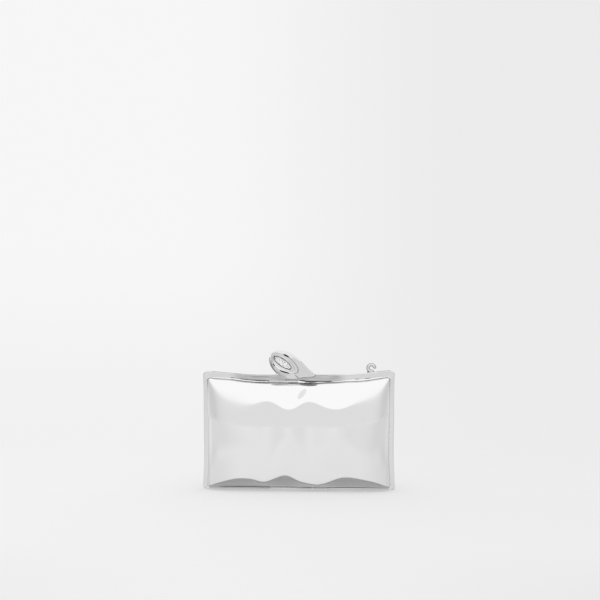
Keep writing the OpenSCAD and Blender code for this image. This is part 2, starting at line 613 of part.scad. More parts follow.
module clasp_ornament() {
    color("silver") difference() {
        ornament_blank();
        translate([-clasp_left - over, -part_gap / 2 - frame_d - part_gap, clasp_z - over])
            cube([clasp_w + 2 * over, 3 * frame_d, top_z + top_clear - clasp_z + over]);
        translate([lever_x - lever_w / 2 - seat_gap, blade_front, top_z])
            cube([lever_w + 2 * seat_gap, 3 * frame_d, blade_top - top_z + seat_gap]);
        for (z = lever_screw_zs) translate([lever_x, blade_back, z])
            rotate([90, 0, 0]) cylinder(r = screw_r, h = blade_t + 2.5 * plate_t + over);
    }
}

// Domed oval in its setting
dome_shares = [[0.97, 0], [1, 0.22], [0.86, 0.62], [0.6, 0.88], [0.3, 0.98]];
module clasp_cabochon() {
    sides = 28;
    size = 0.9 - seat_gap / oval_b;
    rings = [for (r = dome_shares) [for (i = [0:sides - 1]) let (a = 360 * i / sides)
        let (q = oval_at + turn(size * r[0] * [oval_a * cos(a), oval_b * sin(a)], oval_tilt))
        [q[0], clasp_y - clasp_front_t * floor_shares[0][1] - seat_gap - cabochon_h * r[1], q[1]]]];
    last = len(rings) - 1;
    pts = concat([for (r = rings) each r], [for (h = [0, 1])
        [oval_at[0], clasp_y - clasp_front_t * floor_shares[0][1] - seat_gap - cabochon_h * h, oval_at[1]]]);
    color("gainsboro") polyhedron(pts, concat(
        [for (k = [0:last - 1], i = [0:sides - 1]) let (a = k * sides + i, b = k * sides + (i + 1) % sides)
            each [[a, b + sides, b], [a, a + sides, b + sides]]],
        [for (i = [0:sides - 1]) [i, (i + 1) % sides, len(pts) - 2]],
        [for (i = [0:sides - 1]) [last * sides + (i + 1) % sides, last * sides + i, len(pts) - 1]]
    ));
}

back_frame();
back_shell();
back_lining();
back_knuckle();
hinge_pin();
keeper();
keeper_screws();
chain_eyelet();
eyelet_nut();
front_frame();
front_shell();
front_lining();
front_knuckles();
pivot_lugs();
lug_screws();
pivot_pin();
clasp_spring();
clasp_lever();
lever_screws();
clasp_ornament();
clasp_cabochon();
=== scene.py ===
"""A mirror-polished minaudiere standing on its hinge edge, dressed round its CAD frame.

Lengths are in millimetres in the shape functions and become metres in new_mesh(). The materials and the
stage work in metres.
"""
import json
import math

import bmesh
import bpy
import numpy as np
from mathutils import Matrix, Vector


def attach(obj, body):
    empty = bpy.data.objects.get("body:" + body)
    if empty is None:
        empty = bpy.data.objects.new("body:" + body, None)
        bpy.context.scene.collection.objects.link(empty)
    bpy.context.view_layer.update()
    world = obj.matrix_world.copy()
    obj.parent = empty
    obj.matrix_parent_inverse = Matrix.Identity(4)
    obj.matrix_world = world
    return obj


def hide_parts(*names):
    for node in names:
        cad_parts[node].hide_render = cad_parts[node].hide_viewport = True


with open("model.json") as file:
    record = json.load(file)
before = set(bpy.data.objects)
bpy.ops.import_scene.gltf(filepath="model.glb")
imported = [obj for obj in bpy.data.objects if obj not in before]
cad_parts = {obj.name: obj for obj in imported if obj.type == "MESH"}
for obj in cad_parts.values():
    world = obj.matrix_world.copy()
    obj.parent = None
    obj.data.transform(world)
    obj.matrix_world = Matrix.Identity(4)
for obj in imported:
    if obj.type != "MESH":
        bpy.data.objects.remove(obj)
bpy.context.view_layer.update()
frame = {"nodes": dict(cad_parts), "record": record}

MM = 0.001

# Sizes shared with the construction, in millimetres

BODY_W = 190.0
HALF_W = BODY_W / 2
CORNER_H = 116.9
TOP_DIP, TOP_RIPPLE, TOP_WAVES = 4.3, 0.4, 2.1  # the top edge sags between its corners and ripples
SIDE_WAIST, SIDE_RIPPLE, SIDE_WAVES = 1.4, 0.4, 1.25  # the sides draw in between top and foot
TOP_R, BOTTOM_R = 5.0, 3.0
FRAME_D = 4.5  # depth of one half frame
PART_GAP = 0.3  # gap between the two halves
BAND_SIDE, BAND_TOP, BAND_BOTTOM = 4.4, 6.4, 1.8  # width of the band round the shell
BAND_SWELL = 3.5  # what the band gains in the middle of the top
SEAT_TOP_R, SEAT_BOTTOM_R = 4.0, 3.5
LEDGE_W, SEAT_D, LIP_W = 3.0, 2.6, 0.4
BEAD_R = 1.0
SHELL_T, PILLOW_H, RIDGE_H = 0.8, 18.0, 1.7
ACROSS_POWER, TOP_POWER = 7.0, 3.0  # how square the pillow is across, and towards its top
FOOT_FALL, FOOT_SOFT = 0.03, 0.9
SEAT_GAP = 0.1
LINING_T, LINING_GAP, LINING_INSET, LINING_TURN = 1.0, 0.7, 3.8, 20.0
HINGE_Z, KNUCKLE_R, HINGE_L, KNUCKLE_GAP = 2.2, 1.5, 55.0, 0.2
OPEN_ANGLE, STOP_MARGIN = 45.0, 2
LEVER_X, LEVER_W = -6.0, 4.1
LUG_GAP, PLATE_T = 0.3, 0.8
CLASP_W, CLASP_H, CLASP_LEFT, CLASP_DROP = 46.7, 29.3, 28.9, 5.6
CLASP_FRONT_T, CLASP_BACK_T = 5.2, 4.6
OVAL_A, OVAL_B, OVAL_TILT = 10.2, 3.6, math.radians(-35)
CABOCHON_H = 1.9
EYELET_X, EYELET_R, EYELET_WIRE_R, EYELET_GAP = 72.0, 4.9, 1.5, 36.0

IN_W, IN_TOP = HALF_W - BAND_SIDE, CORNER_H - BAND_TOP
OUTER_BOX = (HALF_W, 0.0, CORNER_H, BOTTOM_R, TOP_R)

# Hand work that the scene adds or refines, in millimetres

SEAM_LIFT = 1.4  # how much higher than drawn the seam under the top band runs
SEAM_LEFT, SEAM_RIGHT = (-86.0, -64.0), (68.0, 44.0)  # stretches in which that lift comes up to its full
SEAM_DROP = (12.0, 8.0, 0.8)  # place and width of a stretch that loses this share of the lift
SEAM_POWER = 6  # how fast the lift fades below the top
# Place, height and width. Places and widths are shares of the shell's half width, heights of RIDGE_H
TOP_RIDGES = [
    (-0.09, 1.25, 0.12), (0.43, 1.3, 0.17), (-0.58, 0.45, 0.2), (-0.33, -0.5, 0.1), (0.13, -0.55, 0.09),
]
RIDGE_FOOT, RIDGE_TOP = (-0.75, 0.12), (0.92, 0.4)  # spans over which the ridges fade, at foot and top
# Place across the shell as a share, and height at which its foot turns under
FOOT_BEND = [
    (-1.0, 1.4), (-0.92, 3.1), (-0.83, 5.8), (-0.65, 10.0), (-0.5, 10.0), (-0.34, 7.4), (-0.13, 13.8),
    (0.03, 8.0), (0.19, 5.2), (0.3, 6.4), (0.45, 11.4), (0.55, 12.1), (0.65, 10.7), (0.81, 7.4), (0.92, 3.8),
    (1.0, 1.4),
]
CROWD = 0.6  # how closely the points of an edge crowd towards its ends
CUT_OVER = 1.0  # what a cut runs past the metal


# Shapes: the worked outline

def ramp(v, start, end):
    k = np.clip((v - start) / (end - start), 0, 1)
    return k * k * (3 - 2 * k)


def draw_in(z):
    swell = np.sin(np.pi * z / CORNER_H)
    return SIDE_WAIST * swell + SIDE_RIPPLE * np.sin(2 * np.pi * SIDE_WAVES * z / CORNER_H) * swell


def edge_dip(x):
    return TOP_DIP * (1 - (x / HALF_W) ** 2) - TOP_RIPPLE * np.cos(2 * np.pi * TOP_WAVES * x / BODY_W)


def warp(p):
    """Moves points of the drawn outline to the worked one."""
    x, z = p[..., 0], p[..., 1]
    return np.stack([x * (1 - draw_in(z) / HALF_W), z - edge_dip(x) * z / CORNER_H], -1)


def seam_lift(x):
    """How much higher than drawn the seam of the band and the shell runs along the top's middle."""
    at, width, loss = SEAM_DROP
    kept = 1 - loss * np.exp(-((x - at) / width) ** 2)
    return SEAM_LIFT * ramp(x, *SEAM_LEFT) * ramp(x, *SEAM_RIGHT) * kept


def place(p):
    """Moves points of the drawn seat to the worked one, under a band that is widest in the middle."""
    x, z = p[..., 0], p[..., 1]
    tall = (z - BAND_BOTTOM) / (IN_TOP - BAND_BOTTOM)
    swell = BAND_SWELL * (1 - (x / IN_W) ** 2) * tall - seam_lift(x) * tall ** SEAM_POWER
    return warp(np.stack([x, z - swell], -1))


def on_arc(cx, cz, r, angle):
    return np.stack([cx + r * np.cos(angle), cz + r * np.sin(angle)], -1)


def top_run(s, a, t, r):
    """The top of a rounded rectangle, from the middle of its left corner to that of its right one."""
    q, m = r * math.pi / 4, 2 * (a - r)
    run = s * (2 * q + m)
    left = on_arc(r - a, t - r, r, math.radians(135) - math.radians(45) * run / q)
    right = on_arc(a - r, t - r, r, math.radians(90) - math.radians(45) * (run - q - m) / q)
    flat = np.stack([r - a + run - q, np.full_like(run, t)], -1)
    return np.where((run < q)[:, None], left, np.where((run > q + m)[:, None], right, flat))


def bottom_run(s, a, b, r):
    p = top_run(s, a, 0.0, r)
    return np.stack([p[:, 0], b - p[:, 1]], -1)


def side_run(s, a, b, t, rb, rt):
    """The right side of a rounded rectangle, between the middles of its corners."""
    qb, qt, m = rb * math.pi / 4, rt * math.pi / 4, t - b - rb - rt
    run = s * (qb + m + qt)
    low = on_arc(a - rb, b + rb, rb, -math.radians(45) + math.radians(45) * run / qb)
    high = on_arc(a - rt, t - rt, rt, math.radians(45) * (run - qb - m) / qt)
    flat = np.stack([np.full_like(run, a), b + rb + run - qb], -1)
    return np.where((run < qb)[:, None], low, np.where((run > qb + m)[:, None], high, flat))


def spread(n):
    """Shares from 0 to 1 that crowd towards both ends."""
    k = np.linspace(0, 1, n + 1)
    return (1 - CROWD) * k + CROWD * (1 - np.cos(np.pi * k)) / 2


def rim(box, sx, sz):
    """The whole rounded rectangle: half width, bottom, top and the radii of its lower and upper corners."""
    a, b, t, rb, rt = box
    right = side_run(sz, a, b, t, rb, rt)
    left = right * [-1, 1]
    return np.concatenate([
        bottom_run(sx, a, b, rb)[:-1], right[:-1], top_run(sx, a, t, rt)[:0:-1], left[:0:-1],
    ])


def inset_box(e):
    return (IN_W - e, BAND_BOTTOM + e, IN_TOP - e, max(LIP_W, SEAT_BOTTOM_R - e), max(LIP_W, SEAT_TOP_R - e))


# Shapes: curves and meshes

CREASE_ANGLE = math.radians(35)  # edges that turn more than this stay crisp


def catmull(a, b, c, d, t):
    bend = (2 * a - 5 * b + 4 * c - d) * t ** 2
    return (2 * b + (c - a) * t + bend + (3 * b - a - 3 * c + d) * t ** 3) / 2


def smooth_line(points, steps):
    """A curve through a row of points, with steps samples on each stretch."""
    p = np.asarray(points, float)
    p = np.concatenate([[2 * p[0] - p[1]], p, [2 * p[-1] - p[-2]]])
    t = np.arange(steps)[:, None] / steps
    rows = [catmull(p[i], p[i + 1], p[i + 2], p[i + 3], t) for i in range(len(p) - 3)]
    return np.concatenate(rows + [p[-2:-1]])


def tidy_normals(obj, sharp):
    bm = bmesh.new()
    bm.from_mesh(obj.data)
    bmesh.ops.recalc_face_normals(bm, faces=bm.faces)
    for face in bm.faces:
        face.smooth = True
    for edge in bm.edges:
        edge.smooth = len(edge.link_faces) != 2 or edge.calc_face_angle(0) < sharp
    bm.to_mesh(obj.data)
    bm.free()


def new_mesh(name, verts, faces, sharp=CREASE_ANGLE):
    """A smooth object from points in millimetres. Edges that turn more than sharp stay crisp."""
    mesh = bpy.data.meshes.new(name)
    mesh.from_pydata([tuple(v) for v in np.asarray(verts, float) * MM], [], [tuple(f) for f in faces])
    obj = bpy.data.objects.new(name, mesh)
    bpy.context.collection.objects.link(obj)
    tidy_normals(obj, sharp)
    return obj


def shade_faces(obj, marks, mats):
    """Gives an object its materials. Each face's mark is the place of its material in the row."""
    for mat in mats:
        obj.data.materials.append(mat)
    for polygon, mark in zip(obj.data.polygons, marks):
        polygon.material_index = int(mark)


def carve(obj, cutters):
    """Cuts the cutters out of obj and removes them."""
    for cutter in cutters:
        mod = obj.modifiers.new("cut", "BOOLEAN")
        mod.operation = "DIFFERENCE"
        mod.solver = "EXACT"
        mod.object = cutter
    bpy.context.view_layer.update()
    solid = bpy.data.meshes.new_from_object(obj.evaluated_get(bpy.context.evaluated_depsgraph_get()))
    obj.modifiers.clear()
    obj.data = solid
    for cutter in cutters:
        bpy.data.objects.remove(cutter)
    tidy_normals(obj, CREASE_ANGLE)


def block(low, high):
    """A plain cutter block between two corners in millimetres."""
    xs, ys, zs = zip(low, high)
    verts = [(x, y, z) for x in xs for y in ys for z in zs]
    faces = [(0, 1, 3, 2), (4, 6, 7, 5), (0, 4, 5, 1), (2, 3, 7, 6), (0, 2, 6, 4), (1, 5, 7, 3)]
    return new_mesh("cutter", verts, faces)


def loop_faces(rings, sides):
    """Faces of a closed loop of closed sections."""
    j, i = np.meshgrid(np.arange(rings), np.arange(sides), indexing="ij")
    after, beside = (j + 1) % rings * sides, (i + 1) % sides
    quads = np.stack([j * sides + i, after + i, after + beside, j * sides + beside], -1)
    return quads.reshape(-1, 4).tolist()


def skin_faces(rings, sides, first=0):
    """Faces of a skin over a stack of closed rings, with a cap at each end."""
    j, i = np.meshgrid(np.arange(rings - 1), np.arange(sides), indexing="ij")
    a, b = first + j * sides + i, first + j * sides + (i + 1) % sides
    faces = np.stack([a, b, b + sides, a + sides], -1).reshape(-1, 4).tolist()
    last = first + (rings - 1) * sides
    return faces + [list(range(first, first + sides))[::-1], list(range(last, last + sides))]


def side_of(back):
    """The factor that turns a front half's depth into a place along Y."""
    return 1 if back else -1


# Pieces: half frames

BAND, PAINTED_DARK, BEADED = 0, 1, 2  # finishes of the frame's stretches: its plate, painted shade, and a brighter copy on the bead, a painted highlight
# Parts of a section: place as a share of the part's width, height as a share of its depth
CROWN = [(0.0, 0.6), (0.04, 0.88), (0.14, 0.97), (0.3, 1.0), (0.5, 0.99), (0.75, 0.95), (0.96, 0.91)]
GROOVE = [(0.04, 0.97), (0.1, 0.0), (0.6, 0.0), (0.66, 0.1)]  # places in radii of the bead
BEAD = [
    (0.0, 0.42), (0.1, 0.52), (0.3, 0.66), (0.55, 0.84), (0.76, 1.0), (0.9, 1.05), (0.97, 0.85), (1.0, 0.1),
]
CHAMFER = 0.05
EDGE_SHARE, FLAT_SHARE = 0.25, 0.6  # least depth of the outer edge, and of the crown's start
UNDER_TOP = (0.6, 0.97)  # how far down a section points where the top's bead begins and is full
BEAD_LEAST = 0.15  # the bead's size along the sides and the foot, as a share
GROOVE_OPENS = (0.16, 0.6)  # sizes of the bead, as shares, between which the groove opens
GROOVE_DEEP, GROOVE_WIDENS = 0.9, 0.9
GROOVE_WALL = 0.2  # points of the groove past this place move when it widens
BEAD_ROOM = 3.2  # width of the groove, the bead and the gap under it, in radii of the bead
BEAD_START, BEAD_GAP, BEAD_GAP_WIDENS = 0.03, 0.12, 0.7
BEAD_LOW = 0.9
RABBET_DEEP, RABBET_OPENS = 0.95, 0.45
# Places along the top where the groove is wider, with the width of each stretch, in millimetres
WIDE_GROOVES = [(-36.0, 9.0, 0.45), (11.0, 8.0, 1.0), (31.0, 7.0, 0.35), (-64.0, 7.0, 0.3)]
# Places where the bead is slimmer, with the width of each stretch and what the bead loses, in radii
SLIM_BEADS = [(-42.0, 20.0, 0.9), (33.0, 18.0, 1.3)]
# Runs along the top, in millimetres
EDGE_SHADE = [(-86.0, -56.0), (78.0, 91.0)]  # where a painted dark line along the band's outer edge stands in for shade
EDGE_ROWS = slice(5, 8)  # the stretches of a section that this shade covers
# Runs in which the groove and the gap under the bead are painted dark, as painted shade
GROOVE_SHADE = [(-69.0, -65.0), (-58.0, -29.0), (-13.0, 36.0), (58.0, 62.0), (69.0, 74.0)]
GAP_SHADE = [(-68.0, -58.0), (-51.0, -32.0), (-20.0, -14.0), (-8.0, 32.0)]
SHADE_FROM = 0.5  # how far open the groove is where it may be painted in full shade
BEAD_PLAIN = [(-30.0, 0.0)]  # where the bead keeps the band's plate, without its painted highlight
COVER_T = 0.8  # the front frame's cover over the hinge's barrel
COVER_SPLITS, SPLIT_W = (-HINGE_L / 2, -14.0, 14.0, HINGE_L / 2), 0.8
COVER_EDGE = 0.1
NOTCH_D, NOTCH_FROM, NOTCH_TO = 2.75, 98.0, 120.0  # room for the clasp's lever


def in_run(x, runs):
    return any(start < x < end for start, end in runs)


def weight_at(x, rows, power):
    """The sum of soft bumps along the top at one place."""
    return sum(k * math.exp(-((x - at) / width) ** power) for at, width, k in rows)


def frame_section(o, i):
    """The worked section at one station: parting lip, crown, groove, bead, rabbet and ledge.

    Gives the points and, for each stretch after a point, its finish."""
    b = float(np.linalg.norm(i - o))
    n = (i - o) / b
    low = HINGE_Z - o[1]
    lip = max(LIP_W, low / n[1]) if n[1] > 1e-6 else LIP_W
    edge = max(EDGE_SHARE * FRAME_D, low * math.tan(math.radians(OPEN_ANGLE / 2 + STOP_MARGIN)))
    flat = max(FLAT_SHARE * FRAME_D, edge)
    under_top = float(ramp(-n[1], *UNDER_TOP))
    lift = under_top * float(seam_lift(o[0]))
    grown = under_top * min(1, (b + lift - BAND_SIDE) / (BAND_TOP + BAND_SWELL - BAND_SIDE))
    grown = max(BEAD_LEAST, grown)
    r = BEAD_R * grown
    open_share = float(ramp(grown, *GROOVE_OPENS))
    crown_w = b - (BEAD_ROOM - weight_at(o[0], SLIM_BEADS, 4)) * r
    scale = (FRAME_D - flat) / ((1 - FLAT_SHARE) * FRAME_D)
    crown = smooth_line([(s * crown_w, FRAME_D * (1 - (1 - h) * scale)) for s, h in CROWN], 4).tolist()
    shelf = crown[-1][1]
    deep = GROOVE_DEEP * open_share
    wide = weight_at(o[0], WIDE_GROOVES, 2)
    groove = [
        (crown_w + r * s * (1 + (GROOVE_WIDENS * wide if s > GROOVE_WALL else 0)), shelf - deep * (1 - h))
        for s, h in GROOVE
    ]
    last = SEAT_D + SHELL_T * (RABBET_DEEP - RABBET_OPENS * open_share)
    near = groove[-1][0] + BEAD_START * r
    far = b - r * (BEAD_GAP + BEAD_GAP_WIDENS * wide ** 2)
    bead = [(near + s * (far - near), max(last, shelf - deep * (BEAD_LOW - h))) for s, h in BEAD]
    ledge = b + LEDGE_W + lift
    rest = [(b, last), (b, SEAT_D), (ledge, SEAT_D), (ledge, 0.0)]
    rows = np.array([(lip, 0.0), (CHAMFER, edge - CHAMFER), *crown, *groove, *bead, *rest])
    start = 2 + len(crown)
    middle = start + len(groove)
    end = middle + len(bead)
    marks = np.full(len(rows), BAND)
    # The bead's brighter copy of the plate is a painted highlight
    marks[middle:end - 1] = BAND if in_run(o[0], BEAD_PLAIN) else BEADED
    # Painted shade: the groove, the gap under the bead and the outer edge take the near-black plate
    if open_share > SHADE_FROM and in_run(o[0], GROOVE_SHADE):
        marks[start:middle] = PAINTED_DARK
    if open_share > SHADE_FROM and in_run(o[0], GAP_SHADE):
        marks[end - 1:end + 1] = PAINTED_DARK
    if o[1] > CORNER_H / 2 and in_run(o[0], EDGE_SHADE):
        marks[EDGE_ROWS] = PAINTED_DARK
    xz = o[None, :] + rows[:, :1] * n[None, :]
    return np.stack([xz[:, 0], PART_GAP / 2 + rows[:, 1], xz[:, 1]], -1), marks


def barrel_cutters(back):
    """Room for the hinge's barrel. The front frame keeps a thin cover over it, split where knuckles meet."""
    r, half, side = KNUCKLE_R + KNUCKLE_GAP, HINGE_L / 2 + KNUCKLE_GAP, side_of(back)
    near, far = sorted((side * -PART_GAP, side * (PART_GAP / 2 + r)))
    cutters = [block((-half, near, -CUT_OVER), (half, far, HINGE_Z + r))]
    under_shell = BAND_BOTTOM - SHELL_T / 2
    if back:
        cutters.append(block((-half, 0.0, -CUT_OVER), (half, FRAME_D + 2 * CUT_OVER, under_shell)))
        return cutters
    cutters.append(block((-half, COVER_T - FRAME_D, -CUT_OVER), (half, 0.0, under_shell)))
    for x in COVER_SPLITS:
        low = (x - SPLIT_W / 2, -FRAME_D - CUT_OVER, -CUT_OVER)
        cutters.append(block(low, (x + SPLIT_W / 2, 0.0, BAND_BOTTOM - COVER_EDGE)))
    return cutters


def make_frame(name, back, mats):
    sx, sz = spread(150), spread(90)
    outside = warp(rim(OUTER_BOX, sx, sz))
    inside = place(rim(inset_box(0), sx, sz))
    sections = [frame_section(o, i) for o, i in zip(outside, inside)]
    rings = np.stack([points for points, marks in sections])
    rings[..., 1] *= side_of(back)
    obj = new_mesh(name, rings.reshape(-1, 3), loop_faces(*rings.shape[:2]))
    shade_faces(obj, np.stack([marks for points, marks in sections]).reshape(-1), mats)
    cutters = barrel_cutters(back)
    if not back:
        half = LEVER_W / 2 + LUG_GAP + PLATE_T + LUG_GAP
        low = (LEVER_X - half, -PART_GAP / 2 - NOTCH_D, NOTCH_FROM)
        cutters.append(block(low, (LEVER_X + half, CUT_OVER, NOTCH_TO)))
    carve(obj, cutters)
    return obj


# Pieces: shells and linings

HEM_D, HEM_W, HEM_AT, HEM_UP = 0.35, 0.008, 0.012, 0.6  # the lining's hem: depth, then shares of its width


def bulge(w, power):
    return np.sqrt(np.clip(1 - np.abs(w) ** power, 0, None))


def soft_least(a, b):
    """The lesser of two heights, with a rounded turn where they meet."""
    return np.minimum(a, b) - FOOT_SOFT * np.log1p(np.exp(-np.abs(a - b) / FOOT_SOFT))


def rise(u, v, height, turn_z):
    """Height of the pillow: a slow turn towards the top edge and a tight one at the foot."""
    wall = height * np.where(v > 0, bulge(v, TOP_POWER), 1 - FOOT_FALL * v ** 2)
    foot = PILLOW_H * (1 + v) * (IN_TOP - BAND_BOTTOM) / 2 / turn_z
    return bulge(u, ACROSS_POWER) * soft_least(wall, foot)


def shell_rise(u, v):
    """Height of the shell with the soft upright ridges of a hand-beaten panel."""
    ridges = sum(k * np.exp(-((u - at) / width) ** 2) for at, k, width in TOP_RIDGES)
    window = ramp(v, *RIDGE_FOOT) * ramp(v, *RIDGE_TOP)
    line = smooth_line(FOOT_BEND, 12)
    return rise(u, v, PILLOW_H + RIDGE_H * window * ridges, np.interp(u, line[:, 0], line[:, 1]))


def lining_rise(u, v):
    return rise(u, v, PILLOW_H - RIDGE_H / 2, LINING_TURN)


def panel_points(box, sx, sz):
    """Points of a panel between its four rim runs, rows going up."""
    a, b, t, rb, rt = box
    low, high = bottom_run(sx, a, b, rb), top_run(sx, a, t, rt)
    right = side_run(sz, a, b, t, rb, rt)
    left = right * [-1, 1]
    s, q = sx[None, :, None], sz[:, None, None]
    blend_z = (1 - q) * low[None] + q * high[None]
    blend_x = (1 - s) * left[:, None] + s * right[:, None]
    corners = (1 - q) * ((1 - s) * low[0] + s * low[-1]) + q * ((1 - s) * high[0] + s * high[-1])
    return blend_z + blend_x - corners


def panel_faces(rows, cols):
    """Faces of a panel with a front and a back skin, and of the wall round them."""
    n = rows * cols
    ids = np.arange(n).reshape(rows, cols)
    a = ids[:-1, :-1].reshape(-1)
    quads = np.stack([a, a + 1, a + cols + 1, a + cols], -1)
    ring = np.concatenate([ids[0, :-1], ids[:-1, -1], ids[-1, :0:-1], ids[:0:-1, 0]])
    after = np.roll(ring, -1)
    wall = np.stack([ring, after, after + n, ring + n], -1)
    return quads.tolist() + (quads[:, ::-1] + n).tolist() + wall.tolist()


def panel(name, box, counts, face_d, thick, back, shape, finish=None):
    """A dished panel over box: its face stands face_d off the seat and its back lies thick behind."""
    sx, sz = spread(counts[0]), spread(counts[1])
    rim_box = inset_box(SEAT_GAP)
    across = box[0] / rim_box[0]
    tall = rim_box[2] - rim_box[1]
    low, high = 2 * (box[1] - rim_box[1]) / tall - 1, 1 - 2 * (rim_box[2] - box[2]) / tall
    p = place(panel_points(box, sx, sz))
    u, v = np.meshgrid((2 * sx - 1) * across, low + (high - low) * sz)
    depth = PART_GAP / 2 + SEAT_D + face_d + shape(u, v)
    face = np.stack([p[..., 0], depth, p[..., 1]], -1)
    inner = face - [0, thick, 0]
    if finish is not None:
        inner = finish(inner, u / across, 2 * (v - low) / (high - low) - 1)
    pts = np.concatenate([face.reshape(-1, 3), inner.reshape(-1, 3)])
    pts[:, 1] *= side_of(back)
    return new_mesh(name, pts, panel_faces(len(sz), len(sx)))


def hem(inner, u, v):
    """A rolled hem along the lining's rim."""
    edge = np.minimum(1 - np.abs(u), (1 - np.abs(v)) * HEM_UP)
    inner[..., 1] -= HEM_D * np.exp(-((edge - HEM_AT) / HEM_W) ** 2)
    return inner


def make_shell(name, back):
    return panel(name, inset_box(SEAT_GAP), (180, 140), SHELL_T, SHELL_T, back, shell_rise)


def make_lining(name, back):
    return panel(name, inset_box(LINING_INSET), (120, 90), -LINING_GAP, LINING_T, back, lining_rise, hem)


# Pieces: clasp ornament

def top_heights(x, half):
    """Heights of the worked top edge at a place and a half width to each side of it."""
    return warp(np.array([[x + k * half, CORNER_H] for k in (-1, 0, 1)]))[:, 1]


FLANGE_OUT = 7.9  # half width of the seat of the lever's lugs
TOP_Z = float(np.max(top_heights(LEVER_X, FLANGE_OUT)))
CLASP_Z = TOP_Z - CLASP_DROP
CLASP_Y = -PART_GAP / 2 - 0.6 * FRAME_D
# Points round the ornament, as shares of its width and height
CLASP_OUTLINE = [
    (0.041, 0.86), (0.079, 0.942), (0.143, 0.986), (0.229, 1), (0.36, 0.96), (0.469, 0.9),
    (0.557, 0.805), (0.645, 0.689), (0.734, 0.553), (0.822, 0.405), (0.91, 0.283), (1, 0.157),
    (0.946, 0.099), (0.734, 0.072), (0.522, 0), (0.381, 0.044), (0.206, 0.157), (0.133, 0.266),
    (0.062, 0.396), (0.017, 0.539), (0, 0.676), (0.01, 0.76), (0.05, 0.8),
]
OVAL_AT = np.array([CLASP_W * 0.297 - CLASP_LEFT, CLASP_Z + CLASP_H * 0.58])
BLADE_TOP = TOP_Z + 0.85 * CLASP_H / 3
SLOT_FRONT = -1.45  # where the slot for the lever's blade begins, behind the face

# The groove and the line inside it: angle round the oval in degrees, distance from it in millimetres
GROOVE_RUN = [
    (-180, 2.5), (-140, 3.3), (-113, 4.1), (-80, 4.3), (-50, 5.0), (-25, 6.2), (0, 7.2),
    (30, 7.8), (54, 6.8), (72, 5.2), (90, 4.3), (104, 4.0), (140, 3.2), (180, 2.5),
]
CREASE_RUN = [
    (-180, 1.0), (-140, 1.3), (-100, 1.7), (-60, 2.0), (-30, 3.0), (0, 4.4),
    (22, 4.6), (50, 3.3), (78, 1.9), (120, 1.2), (180, 1.0),
]
GROOVE_MOST, CREASE_MOST = 0.62, 0.45  # the furthest each may lie, as a share of what is round it
# Two streaks where the groove is deep and painted dark, and the jaw's short painted line: middle, half
# width, strength
STREAKS = [(92.5, 7, 1.0), (-66, 17, 1.0), (-107, 7, 0.45)]
# Stretches round the oval where painted shade lines run, in degrees: middle and half width
GROOVE_LINE, CREASE_LINE, SHOULDER, JAW_EDGE, STRANDS = (40, 62), (25, 52), (28, 40), (-122, 52), (-98, 32)
IN_STRETCH = 0.4  # weight from which a place belongs to a stretch
# Painted shade, in millimetres: how far a streak's painted shade reaches inside and outside the groove,
# where the painted line beside the groove runs, half widths of lines, and distances from the outline
STREAK_IN, STREAK_OUT = 0.4, 0.5
LINE_IN, LINE_HALF, CREASE_HALF = 0.08, 0.1, 0.08
STRAND_LINES = [(1.5, 0.12), (2.7, 0.1)]
SHOULDER_DEPTH, JAW_DEPTH = (0.12, 0.6), (0.3, 1.05)
OUTLINE_STEPS, BACK_STEPS, FACE_RINGS, SOCKET_RINGS, SOCKET_STEPS = 14, 6, 44, 46, 4
EDGE_RINGS, EDGE_REACH = 6, 0.02  # rings that crowd at the outline, and the share of the way they take

# Heights and depths of the face, as shares of its thickness, with their widths in millimetres
FACE_RISE = 0.5  # the socket's edge
RIM_H, RIM_W = 0.42, 0.4
SHEATH_H, SHEATH_HOLLOW, SHEATH_SWELL = 0.5, 0.16, 0.02
JAW_H, JAW_FALL, JAW_W = 0.44, 0.3, 3.5
GROOVE_CUT, GROOVE_W, STREAK_CUT, STREAK_W = 0.1, 0.25, 0.34, 0.3
CREASE_CUT, CREASE_W = 0.06, 0.3
BACK_DOME = [(0.1, 1.0), (0.3, 1.0), (0.62, 0.9), (0.9, 0.5), (1.0, 0.0)]  # way out from the oval, height
SOCKET = [(0.985, 0.5), (0.95, 0.46), (0.85, 0.44), (0.5, 0.44)]  # size of the oval, height

ORNATE, SHADED, HALF_SHADE = 0, 1, 2  # finishes of the ornament's faces: its plate, painted shade and painted half shade


def turn(p, a):
    x, z = p[..., 0], p[..., 1]
    return np.stack([x * math.cos(a) - z * math.sin(a), x * math.sin(a) + z * math.cos(a)], -1)


def oval_points(angle):
    return np.stack([OVAL_A * np.cos(angle), OVAL_B * np.sin(angle)], -1)


def clasp_outline(steps):
    p = np.array([(CLASP_W * x - CLASP_LEFT, CLASP_Z + CLASP_H * z) for x, z in CLASP_OUTLINE])
    t = np.arange(steps)[:, None] / steps
    m = len(p)
    return np.concatenate([catmull(p[i - 1], p[i], p[(i + 1) % m], p[(i + 2) % m], t) for i in range(m)])


def around(angle, center, width):
    """A soft weight that is 1 at one angle round the oval and fades over a width, in degrees."""
    off = (np.degrees(angle) - center + 180) % 360 - 180
    return np.exp(-(off / width) ** 4)


def in_stretch(angle, stretch):
    return around(angle, *stretch) > IN_STRETCH


def run_at(table, angle):
    line = smooth_line(table, 8)
    return np.interp(np.degrees(angle), line[:, 0], line[:, 1])


def dip(d, at, width):
    return np.exp(-((d - at) / width) ** 2)


